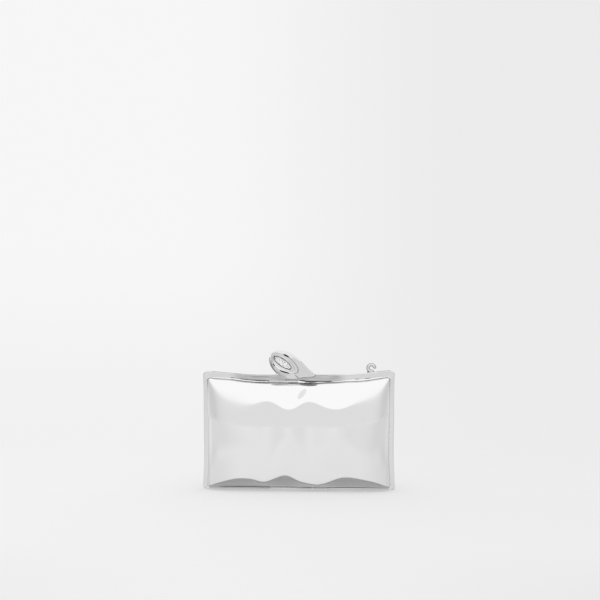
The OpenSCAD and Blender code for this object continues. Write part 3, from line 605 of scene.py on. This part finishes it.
def face_height(d, reach, angle, groove, crease, streak):
    """Height of the ornament's face at distance d from the oval, as a share of its thickness.

    The sheath above the oval and the jaw below it begin at the groove, and a rim lies inside them."""
    upper = ramp(np.sin(angle) + 0.35 * np.cos(angle), -0.25, 0.1)
    out = np.clip(d / reach, 0, 1)
    past = np.clip(d - groove, 0, None)
    inner = np.clip(d / groove, 0, 1)
    hollow = SHEATH_HOLLOW * around(angle, 98, 20) * ramp(past, 0.3, 2.6)
    sheath = SHEATH_H - hollow + SHEATH_SWELL * ramp(past, 1.0, 6.0)
    jaw = JAW_H - JAW_FALL * ramp(past, 0.0, JAW_W)
    rim = RIM_H * ramp(d, 0.0, RIM_W)
    ring = rim + 0.05 * (upper - 0.5) * (1 - inner) + (1 - upper) * (0.32 * inner ** 1.5 - 0.24)
    plate = upper * sheath + (1 - upper) * jaw
    h = FACE_RISE + np.where(d < groove, ring + (plate - ring) * ramp(d, groove - 0.5, groove), plate)
    h -= (GROOVE_CUT + STREAK_CUT * streak) * dip(d, groove, GROOVE_W + STREAK_W * streak)
    h -= CREASE_CUT * dip(d, crease, CREASE_W)
    edge = np.where(upper > 0.5, 14.0 + 40 * around(angle, 25, 45), 5.0)
    return h * np.clip(1 - out ** edge, 0, 1) ** 0.5


def between(v, low, high):
    return (v > low) & (v < high)


def make_ornament(mats):
    """A fluid form in rings that run from its back over its edge and its face into the cabochon's socket."""
    outline = clasp_outline(OUTLINE_STEPS)
    n = len(outline)
    local = turn(outline - OVAL_AT, -OVAL_TILT)
    angle = np.arctan2(local[:, 1] / OVAL_B, local[:, 0] / OVAL_A)
    oval = OVAL_AT + turn(oval_points(angle), OVAL_TILT)
    reach = np.linalg.norm(outline - oval, axis=1)
    groove = np.minimum(run_at(GROOVE_RUN, angle), GROOVE_MOST * reach)
    crease = np.minimum(run_at(CREASE_RUN, angle), CREASE_MOST * groove)
    streak = sum(k * around(angle, middle, half) for middle, half, k in STREAKS)
    streaked = streak > IN_STRETCH
    rings, marks = [], []

    # Faces take the plate, painted shade (streaks, strands, lines and the socket's wall) or painted half
    # shade (the shoulder and the jaw's edge)
    def ring(flat, y, shaded=False, half_shaded=False):
        rings.append(np.stack([flat[:, 0], np.broadcast_to(y, n), flat[:, 1]], -1))
        marks.append(np.broadcast_to(np.where(shaded, SHADED, np.where(half_shaded, HALF_SHADE, ORNATE)), n))

    def face_ring(d, shaded, half_shaded=False):
        h = face_height(d, reach, angle, groove, crease, streak)
        ring(oval + (d / reach)[:, None] * (outline - oval), CLASP_Y - CLASP_FRONT_T * h, shaded, half_shaded)

    for share, h in smooth_line(BACK_DOME, BACK_STEPS)[:-1]:
        ring(oval + share * (outline - oval), CLASP_Y + CLASP_BACK_T * h)
    crowded = 1 - EDGE_REACH * np.arange(EDGE_RINGS) ** 1.5 / (EDGE_RINGS - 1) ** 1.5
    for k in np.concatenate([crowded, np.linspace(0.975, 0, FACE_RINGS)[:-1]]):
        d = groove + k * (reach - groove)
        depth = reach - d
        strand = sum(np.abs(depth - at) < half for at, half in STRAND_LINES) > 0
        shaded = (d - groove < STREAK_OUT) & streaked | in_stretch(angle, STRANDS) & strand
        shoulder = in_stretch(angle, SHOULDER) & between(depth, *SHOULDER_DEPTH)
        face_ring(d, shaded, shoulder | in_stretch(angle, JAW_EDGE) & between(depth, *JAW_DEPTH))
    for k in np.linspace(1, 0, SOCKET_RINGS):
        d = k * groove
        shaded = (groove - d < STREAK_IN) & streaked
        shaded |= (np.abs(groove - d - LINE_IN) < LINE_HALF) & in_stretch(angle, GROOVE_LINE)
        shaded |= (np.abs(d - crease) < CREASE_HALF) & in_stretch(angle, CREASE_LINE)
        face_ring(d, shaded)
    for size, h in smooth_line(SOCKET, SOCKET_STEPS):
        ring(OVAL_AT + size * (oval - OVAL_AT), CLASP_Y - CLASP_FRONT_T * h, shaded=True)
    obj = new_mesh("ornament_body", np.concatenate(rings), skin_faces(len(rings), n))
    shade_faces(obj, np.concatenate(marks[:-1]), mats)
    seat_low = (-CLASP_LEFT - 5, -PART_GAP / 2 - FRAME_D - PART_GAP, CLASP_Z - 5)
    slot_low = (LEVER_X - LEVER_W / 2 - SEAT_GAP, SLOT_FRONT, TOP_Z)
    slot_high = (LEVER_X + LEVER_W / 2 + SEAT_GAP, 12, BLADE_TOP + SEAT_GAP)
    carve(obj, [block(seat_low, (30, 12, TOP_Z + 0.6)), block(slot_low, slot_high)])
    return obj


# Pieces: cabochon

CABOCHON_SIDES, CABOCHON_ROWS = 96, 26
CABOCHON_SHARE = 0.975  # its size, as a share of the oval's
CABOCHON_SHIFT, CABOCHON_LEAN = (-0.05, 0.1), 0.08
CABOCHON_SEAT = 0.45  # place of its back, as a share of the face's thickness
CABOCHON_EDGE = 0.15  # height of its edge, as a share of the dome's
DENTS, DENT_D, DENT_W = 150, 0.34, 0.5


def make_cabochon():
    """A domed oval with a finely hammered face."""
    rng = np.random.default_rng(7)
    dents = rng.uniform(-1, 1, (DENTS, 2)) * [OVAL_A, OVAL_B]
    size = CABOCHON_SHARE - SEAT_GAP / OVAL_B
    oval = oval_points(np.linspace(0, 2 * np.pi, CABOCHON_SIDES, endpoint=False))
    rings, heights = [size * oval], [np.zeros(CABOCHON_SIDES)]
    for r in np.linspace(1, 0.03, CABOCHON_ROWS):
        flat = size * r * oval
        dome = CABOCHON_H * (CABOCHON_EDGE + (1 - CABOCHON_EDGE) * np.sqrt(1 - 0.97 * r ** 2.4))
        nearest = np.linalg.norm(flat[:, None] - dents[None], axis=-1).min(1)
        rings.append(flat)
        heights.append(dome - DENT_D * np.exp(-(nearest / DENT_W) ** 2) * (1 - r ** 10))
    flat = OVAL_AT + CABOCHON_SHIFT + turn(np.stack(rings), OVAL_TILT)
    lean = CABOCHON_LEAN * (flat[..., 1] - OVAL_AT[1])
    lean[0] = 0
    base = CLASP_Y - CLASP_FRONT_T * CABOCHON_SEAT - SEAT_GAP
    pts = np.stack([flat[..., 0], base - np.stack(heights) + lean, flat[..., 1]], -1).reshape(-1, 3)
    return new_mesh("cabochon_oval", pts, skin_faces(len(rings), CABOCHON_SIDES), math.radians(60))


# Pieces: chain eyelet

COLLAR_HALF, COLLAR_H, COLLAR_DEEP = 2.76 * EYELET_WIRE_R, 0.7 * EYELET_WIRE_R, 1.28
COLLAR_ROWS = [(0.97, 0.0), (1.0, 0.12), (1.0, 0.7), (0.93, 0.92), (0.75, 1.0), (0.5, 1.1)]  # size, height
COLLAR_SIDES, RING_SIDES, RING_STEPS, RING_START = 48, 28, 90, -12
RING_FACE = 0.75  # how straight ahead or back a face of the ring looks where it is left without painted shade


def tube(points, radii, sides):
    """A closed round skin along points, with a radius at each."""
    p = np.asarray(points, float)
    heading = np.gradient(p, axis=0)
    heading /= np.linalg.norm(heading, axis=1)[:, None]
    across = np.cross(heading, [0, 1, 0])
    across /= np.linalg.norm(across, axis=1)[:, None]
    over = np.cross(across, heading)
    a = np.linspace(0, 2 * np.pi, sides, endpoint=False)[None, :, None]
    r = np.asarray(radii, float)[:, None, None]
    rings = p[:, None] + r * (np.cos(a) * across[:, None] + np.sin(a) * over[:, None])
    return rings.reshape(-1, 3), skin_faces(len(p), sides)


def make_eyelet(mats):
    """An open ring with rounded ends on a filleted collar, with painted shade round the ring's sides and at
    the collar's ends.
    """
    ring_r = EYELET_R - EYELET_WIRE_R - 0.15
    seat = float(np.min(top_heights(EYELET_X, COLLAR_HALF)))
    y = PART_GAP / 2 + SEAT_D / 2 + PART_GAP
    middle = np.array([EYELET_X, y, seat + EYELET_R - 0.35])
    angles = np.radians(np.linspace(RING_START, 360 + RING_START - EYELET_GAP, RING_STEPS))
    line = middle + ring_r * np.stack([np.cos(angles), 0 * angles, np.sin(angles)], -1)
    k = np.linspace(0, 1, RING_STEPS)
    end = np.minimum(k, 1 - k) * RING_STEPS / 4
    radii = (EYELET_WIRE_R + 0.12) * np.sqrt(1 - (1 - np.clip(end, 0.02, 1)) ** 2)
    ring, ring_faces = tube(line, radii, RING_SIDES)
    a = np.linspace(0, 2 * np.pi, COLLAR_SIDES, endpoint=False)
    wide = np.sign(np.cos(a)) * np.abs(np.cos(a)) ** 0.6
    collar = np.concatenate([
        np.stack([
            EYELET_X + size * COLLAR_HALF * wide, y + size * COLLAR_DEEP * np.sin(a),
            np.full_like(a, seat + z * COLLAR_H),
        ], -1)
        for size, z in COLLAR_ROWS
    ])
    faces = ring_faces + skin_faces(len(COLLAR_ROWS), COLLAR_SIDES, len(ring))
    obj = new_mesh("eyelet_ring", np.concatenate([ring, collar]), faces)
    # Painted shade: the ring's sides take the dark grey plate and the collar's ends the near-black one
    from_middle = np.array([f.center.x for f in obj.data.polygons]) / MM - EYELET_X
    turned = np.array([abs(f.normal.y) < RING_FACE for f in obj.data.polygons])
    on_ring = np.arange(len(faces)) < len(ring_faces)
    beside_foot = np.abs(from_middle) > 0.4 * COLLAR_HALF
    shade_faces(obj, np.where(on_ring, turned, 2 * beside_foot), mats)
    return obj


# Materials: node helpers. Places are in metres

def plug(tree, value, socket):
    """Sets a socket to a number, or links it to another socket."""
    if isinstance(value, (int, float)):
        socket.default_value = value
    else:
        tree.links.new(value, socket)


def math_node(tree, kind, *values):
    node = tree.nodes.new("ShaderNodeMath")
    node.operation = kind
    for value, socket in zip(values, node.inputs):
        plug(tree, value, socket)
    return node.outputs["Value"]


def times(tree, first, *values):
    for value in values:
        first = math_node(tree, "MULTIPLY", first, value)
    return first


def distance(tree, value, middle):
    return math_node(tree, "ABSOLUTE", math_node(tree, "SUBTRACT", value, middle))


def ranged(tree, value, low, high):
    node = tree.nodes.new("ShaderNodeMapRange")
    node.inputs["To Min"].default_value = low
    node.inputs["To Max"].default_value = high
    tree.links.new(value, node.inputs["Value"])
    return node.outputs["Result"]


def ease(tree, value, start, end, low=0, high=1):
    """A value that goes softly from low to high while the input goes from start to end."""
    result = ranged(tree, value, low, high)
    result.node.interpolation_type = "SMOOTHSTEP"
    result.node.inputs["From Min"].default_value = start
    result.node.inputs["From Max"].default_value = end
    return result


def fade(tree, value, start, end):
    return ease(tree, value, start, end, 1, 0)


def blend_values(tree, factor, a, b):
    node = tree.nodes.new("ShaderNodeMix")
    for k, value in ((0, factor), (2, a), (3, b)):
        plug(tree, value, node.inputs[k])
    return node.outputs[0]


def axes(tree, coords, letters):
    split = tree.nodes.new("ShaderNodeSeparateXYZ")
    tree.links.new(coords, split.inputs["Vector"])
    return [split.outputs[letter] for letter in letters]


def coordinates(tree, kind="Object"):
    return tree.nodes.new("ShaderNodeTexCoord").outputs[kind]


def stretched(tree, coords, scale):
    node = tree.nodes.new("ShaderNodeMapping")
    node.inputs["Scale"].default_value = scale
    tree.links.new(coords, node.inputs["Vector"])
    return node.outputs["Vector"]


def noise(tree, coords, scale, detail, rough=0.5):
    node = tree.nodes.new("ShaderNodeTexNoise")
    node.inputs["Scale"].default_value = scale
    node.inputs["Detail"].default_value = detail
    node.inputs["Roughness"].default_value = rough
    tree.links.new(coords, node.inputs["Vector"])
    return node.outputs["Fac"]


def bump(tree, shader, height, strength, depth):
    node = tree.nodes.new("ShaderNodeBump")
    node.inputs["Strength"].default_value = strength
    node.inputs["Distance"].default_value = depth
    tree.links.new(height, node.inputs["Height"])
    tree.links.new(node.outputs["Normal"], shader.inputs["Normal"])


def shader_of(tree):
    return tree.nodes["Principled BSDF"]


# Materials: metals and suede

def material(name):
    mat = bpy.data.materials.new(name)
    mat.use_nodes = True
    return mat, mat.node_tree, shader_of(mat.node_tree)


def metal(name, tint):
    mat, tree, shader = material(name)
    shader.inputs["Base Color"].default_value = (*tint, 1)
    shader.inputs["Metallic"].default_value = 1
    return mat, tree, shader


def polished_silver(name, tint, rough=(0.03, 0.07), grain=0.02):
    """Mirror plate: faint handling haze in its gloss and the slightest orange peel in its face."""
    mat, tree, shader = metal(name, (tint, tint, tint))
    coords = coordinates(tree)
    haze = noise(tree, coords, 35, 5, 0.6)
    tree.links.new(ranged(tree, haze, *rough), shader.inputs["Roughness"])
    bump(tree, shader, noise(tree, coords, 420, 2), grain, 0.0002)
    return mat


def speckle(mat, scale, low, high, tones):
    """Darkens a plate's colour where a fine noise is low, as where its dents face away from the light."""
    tree = mat.node_tree
    grain = noise(tree, coordinates(tree), scale, 2, 0.6)
    tree.links.new(ease(tree, grain, low, high, *tones), shader_of(tree).inputs["Base Color"])
    bump(tree, shader_of(tree), grain, 0.6, 0.0006)


# The frame's painted shade. Pairs of places, heights or distances are spans over which something comes in or
# fades
TOP_SHADE_AT, TOP_SHADE_END, TOP_SHADE_UP = -0.01, (0.045, 0.06), (0.1, 0.105)
STREAK_SCALE, STREAK_SPAN, STREAK_TONES = (60, 60, 900), (0.3, 0.7), (0.54, 0.85)
FOOT_FROM, FOOT_TO, FOOT_UP = (0.027, 0.028), (0.07, 0.085), (0.002, 0.003)
FOOT_EDGE, FOOT_EDGE_TONE = (0.0004, 0.0015), 0.85
FOOT_ACROSS, FOOT_TONES = (-0.02, 0.02), (0.62, 1.0)


def band_painted_shade(mat, tint):
    """Painted dark reflection in streaks along the middle of the top edge, and painted shade on the foot."""
    tree = mat.node_tree
    coords = coordinates(tree)
    x, z = axes(tree, coords, "XZ")
    lines = noise(tree, stretched(tree, coords, STREAK_SCALE), 1, 3, 0.6)
    top_shade = fade(tree, distance(tree, x, TOP_SHADE_AT), *TOP_SHADE_END)
    top_shade = times(tree, top_shade, ease(tree, z, *TOP_SHADE_UP))
    top = blend_values(tree, top_shade, 1.0, ease(tree, lines, *STREAK_SPAN, *STREAK_TONES))
    # Painted shade on the foot beside the hinge, darker towards the left
    aside = math_node(tree, "ABSOLUTE", x)
    low = times(tree, ease(tree, aside, *FOOT_FROM), fade(tree, aside, *FOOT_TO), fade(tree, z, *FOOT_UP))
    dim = ease(tree, x, *FOOT_ACROSS, *FOOT_TONES)
    foot = blend_values(tree, low, 1.0, blend_values(tree, ease(tree, z, *FOOT_EDGE), FOOT_EDGE_TONE, dim))
    tree.links.new(times(tree, top, tint, foot), shader_of(tree).inputs["Base Color"])


# A painted reflection of the clasp's tail on the front shell, under the tail: place, turn, size, edge, front
# and tone
TAIL_REFLECTION_AT, TAIL_REFLECTION_TURN, TAIL_REFLECTION_SIZE = (0.0047, 0.0938), math.radians(52), (0.0062, 0.0026)
TAIL_REFLECTION_EDGE, TAIL_REFLECTION_FRONT, TAIL_REFLECTION_TONE = (0.6, 1.15), (-0.001, 0.0), 0.82
# The shells' painted shade: how far a face looks down, heights, places and distances, each as a span, and
# tones
UNDER_FROM, UNDER_DEEP, UNDER_TONES, UNDER_UP = (-0.36, -0.1), (-0.8, -0.5), (0.66, 0.5), (0.0025, 0.0045)
SIDES_MIDDLE, SIDES_FROM, SIDES_UP, SIDES_TONE = 0.003, (0.055, 0.085), (0.022, 0.05), 0.89
LEFT_END, LEFT_TONE, RIGHT_END, RIGHT_TONE = (-0.087, -0.085), 0.86, (0.0845, 0.0865), 0.93
HAZE_MIDDLE, HAZE_FROM, HAZE_MOST = 0.008, (0.034, 0.07), 0.19
HIGH = (0.068, 0.08)  # heights between which the ends' darkening fades and the corners' haze comes in


def tail_reflection_distance(tree, x, z):
    """Distance from the middle of the painted reflection of the clasp's tail, under the tail, as a share of
    its size.
    """
    x = math_node(tree, "SUBTRACT", x, TAIL_REFLECTION_AT[0])
    z = math_node(tree, "SUBTRACT", z, TAIL_REFLECTION_AT[1])
    c, s = math.cos(TAIL_REFLECTION_TURN), math.sin(TAIL_REFLECTION_TURN)
    along = math_node(tree, "ADD", times(tree, x, c), times(tree, z, s))
    across = math_node(tree, "SUBTRACT", times(tree, z, c), times(tree, x, s))
    shares = []
    for way, size in zip((along, across), TAIL_REFLECTION_SIZE):
        share = math_node(tree, "ABSOLUTE", math_node(tree, "DIVIDE", way, size))
        shares.append(math_node(tree, "POWER", share, 2.0))
    return math_node(tree, "ADD", *shares)


def painted_shell_shade(mat, tint):
    """Painted dark reflection of the shaded floor under the foot, a darker tone low along the sides and at
    the ends, a painted reflection of the clasp's tail, and a haze at the upper corners.
    """
    tree = mat.node_tree
    x, y, z = axes(tree, coordinates(tree), "XYZ")
    facing = axes(tree, coordinates(tree, "Normal"), "Z")[0]
    # Painted dark reflection of the shaded floor on faces that look down
    deep = ease(tree, facing, *UNDER_DEEP, *UNDER_TONES)
    under = blend_values(tree, ease(tree, facing, *UNDER_FROM), deep, 1.0)
    under = blend_values(tree, ease(tree, z, *UNDER_UP), 1.0, under)
    # Darker low along the sides
    aside = ease(tree, distance(tree, x, SIDES_MIDDLE), *SIDES_FROM)
    sides = blend_values(tree, times(tree, aside, fade(tree, z, *SIDES_UP)), 1.0, SIDES_TONE)
    tail_reflection = times(tree, fade(tree, tail_reflection_distance(tree, x, z), *TAIL_REFLECTION_EDGE), fade(tree, y, *TAIL_REFLECTION_FRONT))
    reflected_tone = blend_values(tree, tail_reflection, 1.0, TAIL_REFLECTION_TONE)
    # Darker at the far left and right ends, below the corners
    ends = times(tree, ease(tree, x, *LEFT_END, LEFT_TONE, 1), ease(tree, x, *RIGHT_END, 1, RIGHT_TONE))
    ends = blend_values(tree, fade(tree, z, *HIGH), 1.0, ends)
    tone = times(tree, under, times(tree, sides, reflected_tone, ends), tint)
    shader = shader_of(tree)
    tree.links.new(tone, shader.inputs["Base Color"])
    corners = ease(tree, distance(tree, x, HAZE_MIDDLE), *HAZE_FROM, 0, HAZE_MOST)
    haze = times(tree, corners, ease(tree, z, *HIGH))
    gloss = shader.inputs["Roughness"].links[0].from_socket
    tree.links.new(math_node(tree, "ADD", gloss, haze), shader.inputs["Roughness"])


def brushed_steel(name, tint=0.55):
    mat, tree, shader = metal(name, (tint, tint, tint * 1.01))
    lines = noise(tree, stretched(tree, coordinates(tree), (1, 1, 14)), 500, 4)
    tree.links.new(ranged(tree, lines, 0.22, 0.4), shader.inputs["Roughness"])
    bump(tree, shader, lines, 0.12, 0.0001)
    return mat


def suede(name):
    """Short nap: mottled warm grey with a soft sheen."""
    mat, tree, shader = material(name)
    coords = coordinates(tree)
    tones = tree.nodes.new("ShaderNodeValToRGB")
    dark, light = tones.color_ramp.elements
    dark.color, dark.position = (0.085, 0.075, 0.07, 1), 0.3
    light.color, light.position = (0.15, 0.135, 0.125, 1), 0.7
    tree.links.new(noise(tree, coords, 60, 6, 0.6), tones.inputs["Fac"])
    tree.links.new(tones.outputs["Color"], shader.inputs["Base Color"])
    shader.inputs["Roughness"].default_value = 0.95
    shader.inputs["Sheen Weight"].default_value = 0.5
    shader.inputs["Sheen Roughness"].default_value = 0.4
    bump(tree, shader, noise(tree, coords, 2600, 3), 0.5, 0.0003)
    return mat


# Stage: camera, floor and light

VIEW_DISTANCE, VIEW_HEIGHT, VIEW_TURN = 0.7, 0.099, math.radians(4.0)
MM_PER_PIXEL = 0.99
IMAGE_SIDE = 600
BASE_PIXEL = (298.3, 488.6)  # where the middle of the base stands in the 600 by 600 view
FLOOR_FRONT, FLOOR_BACK, FLOOR_HALF, SWEEP_R, BACKDROP_H = -2.9, 0.8, 2.8, 0.35, 1.3
# The floor's paper: places and distances as spans, in metres, and tones
SIDE_TONE = 0.87  # painted shade: tone of the floor to both sides, as a share of its middle's
BESIDE, BESIDE_FROM, SLANT, SLANT_FROM = (0.28, 0.48), (-0.05, 0.1), (0.0, 0.9), (0.25, 0.45)
LIT_ACROSS, LIT_TONES, GLOW_ACROSS, GLOW_UP = (-0.35, 0.35), (0.91, 0.865), (-0.4, 0.4), (0.0, 0.5)
GLOW_LOW, GLOW_HIGH = (0.883, 0.840), (0.925, 0.835)
BEHIND = (0.1, 0.5)  # where the glow takes over behind the object
# Shares of glow near the object: painted light that lifts the object's shadow on the floor
NEAR, NEAR_SHARES, FURTHER, FURTHER_SHARES = (0.006, 0.014), (0.45, 0.3), (0.016, 0.05), (0, 0.15)
# The room: directions as spans, from -1 to 1, and the brightness of each part
SIDE, CORNER, HORIZON = (0.4, 0.9), (0.79, 0.8), (-0.01, 0.01)
WALL_TONES, CORNER_TONE, BELOW_TONES = (0.82, 0.72), 0.66, (0.84, 0.74)
CEILING_FROM, CEILING_SOFT, CEILING_TONE = 0.385, (0.05, 0.35), 1.08


def make_camera():
    """A level camera at the height of the top edge, framed by shift."""
    data = bpy.data.cameras.new("camera")
    data.sensor_width = data.sensor_height = 36
    data.angle = 2 * math.atan(IMAGE_SIDE / 2 * MM_PER_PIXEL * MM / VIEW_DISTANCE)
    data.shift_x = (IMAGE_SIDE / 2 - BASE_PIXEL[0]) / IMAGE_SIDE
    data.shift_y = (BASE_PIXEL[1] - VIEW_HEIGHT / MM / MM_PER_PIXEL - IMAGE_SIDE / 2) / IMAGE_SIDE
    data.clip_end = 50
    camera = bpy.data.objects.new("camera", data)
    away = Vector((math.sin(VIEW_TURN), -math.cos(VIEW_TURN), 0))
    camera.location = away * VIEW_DISTANCE + Vector((0, 0, VIEW_HEIGHT))
    camera.rotation_euler = (-away).to_track_quat("-Z", "Y").to_euler()
    bpy.context.collection.objects.link(camera)
    bpy.context.scene.camera = camera


def make_floor():
    """A pale table that sweeps up into a backdrop."""
    line = [(y, 0.0) for y in np.linspace(FLOOR_FRONT, FLOOR_BACK, 30)]
    for a in np.linspace(0, math.pi / 2, 13)[1:]:
        line.append((FLOOR_BACK + SWEEP_R * math.sin(a), SWEEP_R - SWEEP_R * math.cos(a)))
    line.append((FLOOR_BACK + SWEEP_R, BACKDROP_H))
    verts = [(x / MM, y / MM, z / MM) for y, z in line for x in (-FLOOR_HALF, 0.0, FLOOR_HALF)]
    starts = [3 * row + column for row in range(len(line) - 1) for column in (0, 1)]
    floor = new_mesh("floor", verts, [(k, k + 1, k + 4, k + 3) for k in starts], math.radians(80))
    floor.data.materials.append(floor_paper())


def floor_paper():
    """Paper that is lit and also glows a little: more behind the object and less under it."""
    mat, tree, shader = material("backdrop_white")
    shader.inputs["Roughness"].default_value = 0.9
    shader.inputs["Specular IOR Level"].default_value = 0.1
    x, y, z = axes(tree, coordinates(tree), "XYZ")
    aside, ahead = math_node(tree, "ABSOLUTE", x), times(tree, y, -1.0)
    slant = math_node(tree, "DIVIDE", aside, math_node(tree, "MAXIMUM", ahead, 0.1))
    beside = ease(tree, aside, *BESIDE, 1, SIDE_TONE)
    beside = blend_values(tree, ease(tree, ahead, *BESIDE_FROM), 1.0, beside)
    far = blend_values(tree, ease(tree, ahead, *SLANT_FROM), beside, ease(tree, slant, *SLANT, 1, SIDE_TONE))
    paper = ease(tree, x, *LIT_ACROSS, *LIT_TONES)
    tree.links.new(times(tree, paper, far), shader.inputs["Base Color"])
    low, high = (ease(tree, x, *GLOW_ACROSS, *tones) for tones in (GLOW_LOW, GLOW_HIGH))
    behind = ease(tree, y, *BEHIND)
    tone = blend_values(tree, ease(tree, z, *GLOW_UP), low, high)
    tone = times(tree, tone, blend_values(tree, behind, far, 1.0))
    glow = tree.nodes.new("ShaderNodeEmission")
    tree.links.new(tone, glow.inputs["Color"])
    off = math_node(tree, "ABSOLUTE", y)
    near, further = ease(tree, off, *NEAR, *NEAR_SHARES), ease(tree, off, *FURTHER, *FURTHER_SHARES)
    mix = tree.nodes.new("ShaderNodeMixShader")
    glowing = blend_values(tree, behind, math_node(tree, "ADD", near, further), 1.0)
    tree.links.new(glowing, mix.inputs[0])
    tree.links.new(shader.outputs[0], mix.inputs[1])
    tree.links.new(glow.outputs[0], mix.inputs[2])
    tree.links.new(mix.outputs[0], tree.nodes["Material Output"].inputs["Surface"])
    return mat


def make_world():
    """A white room: a bright ceiling, a paler wall in front and greyer sides."""
    world = bpy.data.worlds.new("room")
    bpy.context.scene.world = world
    world.use_nodes = True
    tree = world.node_tree
    x, z = axes(tree, coordinates(tree, "Generated"), "XZ")
    aside = math_node(tree, "ABSOLUTE", x)
    side = ease(tree, aside, *SIDE)
    wall = blend_values(tree, ease(tree, aside, *CORNER), blend_values(tree, side, *WALL_TONES), CORNER_TONE)
    below = blend_values(tree, side, *BELOW_TONES)
    room = blend_values(tree, ease(tree, z, *HORIZON), below, wall)
    above = math_node(tree, "SUBTRACT", z, CEILING_FROM)
    lift = math_node(tree, "DIVIDE", above, blend_values(tree, side, *CEILING_SOFT))
    level = blend_values(tree, ease(tree, lift, 0.0, 1.0), room, CEILING_TONE)
    tree.links.new(level, tree.nodes["Background"].inputs["Color"])


# Dressing

def dress(piece, mat, body, slot, *nodes):
    if not piece.data.materials:
        piece.data.materials.append(mat)
    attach(piece, body)
    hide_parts(*nodes)


make_camera()
silver = polished_silver("silver_plate_polished", 0.875)
painted_shell_shade(silver, 0.875)
cast = polished_silver("frame_plate_polished", 0.78, (0.05, 0.1))
band_painted_shade(cast, 0.78)
# A brighter copy of the frame plate for the bead: a painted highlight
bead_highlight_plate = polished_silver("frame_bead_painted_highlight", 0.86)
ornate = polished_silver("clasp_plate_polished", 0.76, (0.05, 0.1))
# A near-black copy of the plate: painted shade in grooves, gaps, edge lines, streaks and the socket
painted_shade_plate = polished_silver("frame_plate_painted_shade", 0.06, (0.25, 0.4))
# A dark grey copy of the plate: painted half shade on the clasp and the eyelet
painted_half_shade_plate = polished_silver("clasp_plate_painted_half_shade", 0.3, (0.2, 0.3))
steel = brushed_steel("latch_steel_brushed")
nap = suede("suede_lining")
hammered = polished_silver("silver_plate_hammered", 0.9, (0.05, 0.12), 0.1)
speckle(hammered, 1100, 0.36, 0.52, (0.4, 0.97))

for half, back in (("front", False), ("back", True)):
    body = half + "_half"
    half_frame = make_frame(half + "_frame_worked", back, (cast, painted_shade_plate, bead_highlight_plate))
    dress(half_frame, cast, body, "frame_plate", half + "_frame")
    dress(make_shell(half + "_shell_pressed", back), silver, body, "silver_plate", half + "_shell")
    dress(make_lining(half + "_lining_suede", back), nap, body, "suede", half + "_lining")
dress(make_ornament((ornate, painted_shade_plate, painted_half_shade_plate)), ornate, "clasp", "frame_plate", "clasp_ornament")
dress(make_cabochon(), hammered, "clasp", "hammered_silver", "clasp_cabochon")
dress(make_eyelet((ornate, painted_half_shade_plate, painted_shade_plate)), ornate, "back_half", "frame_plate", "chain_eyelet")

finishes = {
    "silver_plate": silver, "frame_plate": cast, "latch_steel": steel, "suede": nap,
    "hammered_silver": hammered,
}
slots = {row["node"]: row["material_slot"] for row in frame["record"]["subparts"]}
for name, obj in frame["nodes"].items():
    for material_slot in obj.material_slots:
        material_slot.material = finishes[slots[name]]

make_floor()
make_world()
bpy.context.scene.view_settings.view_transform = "Standard"
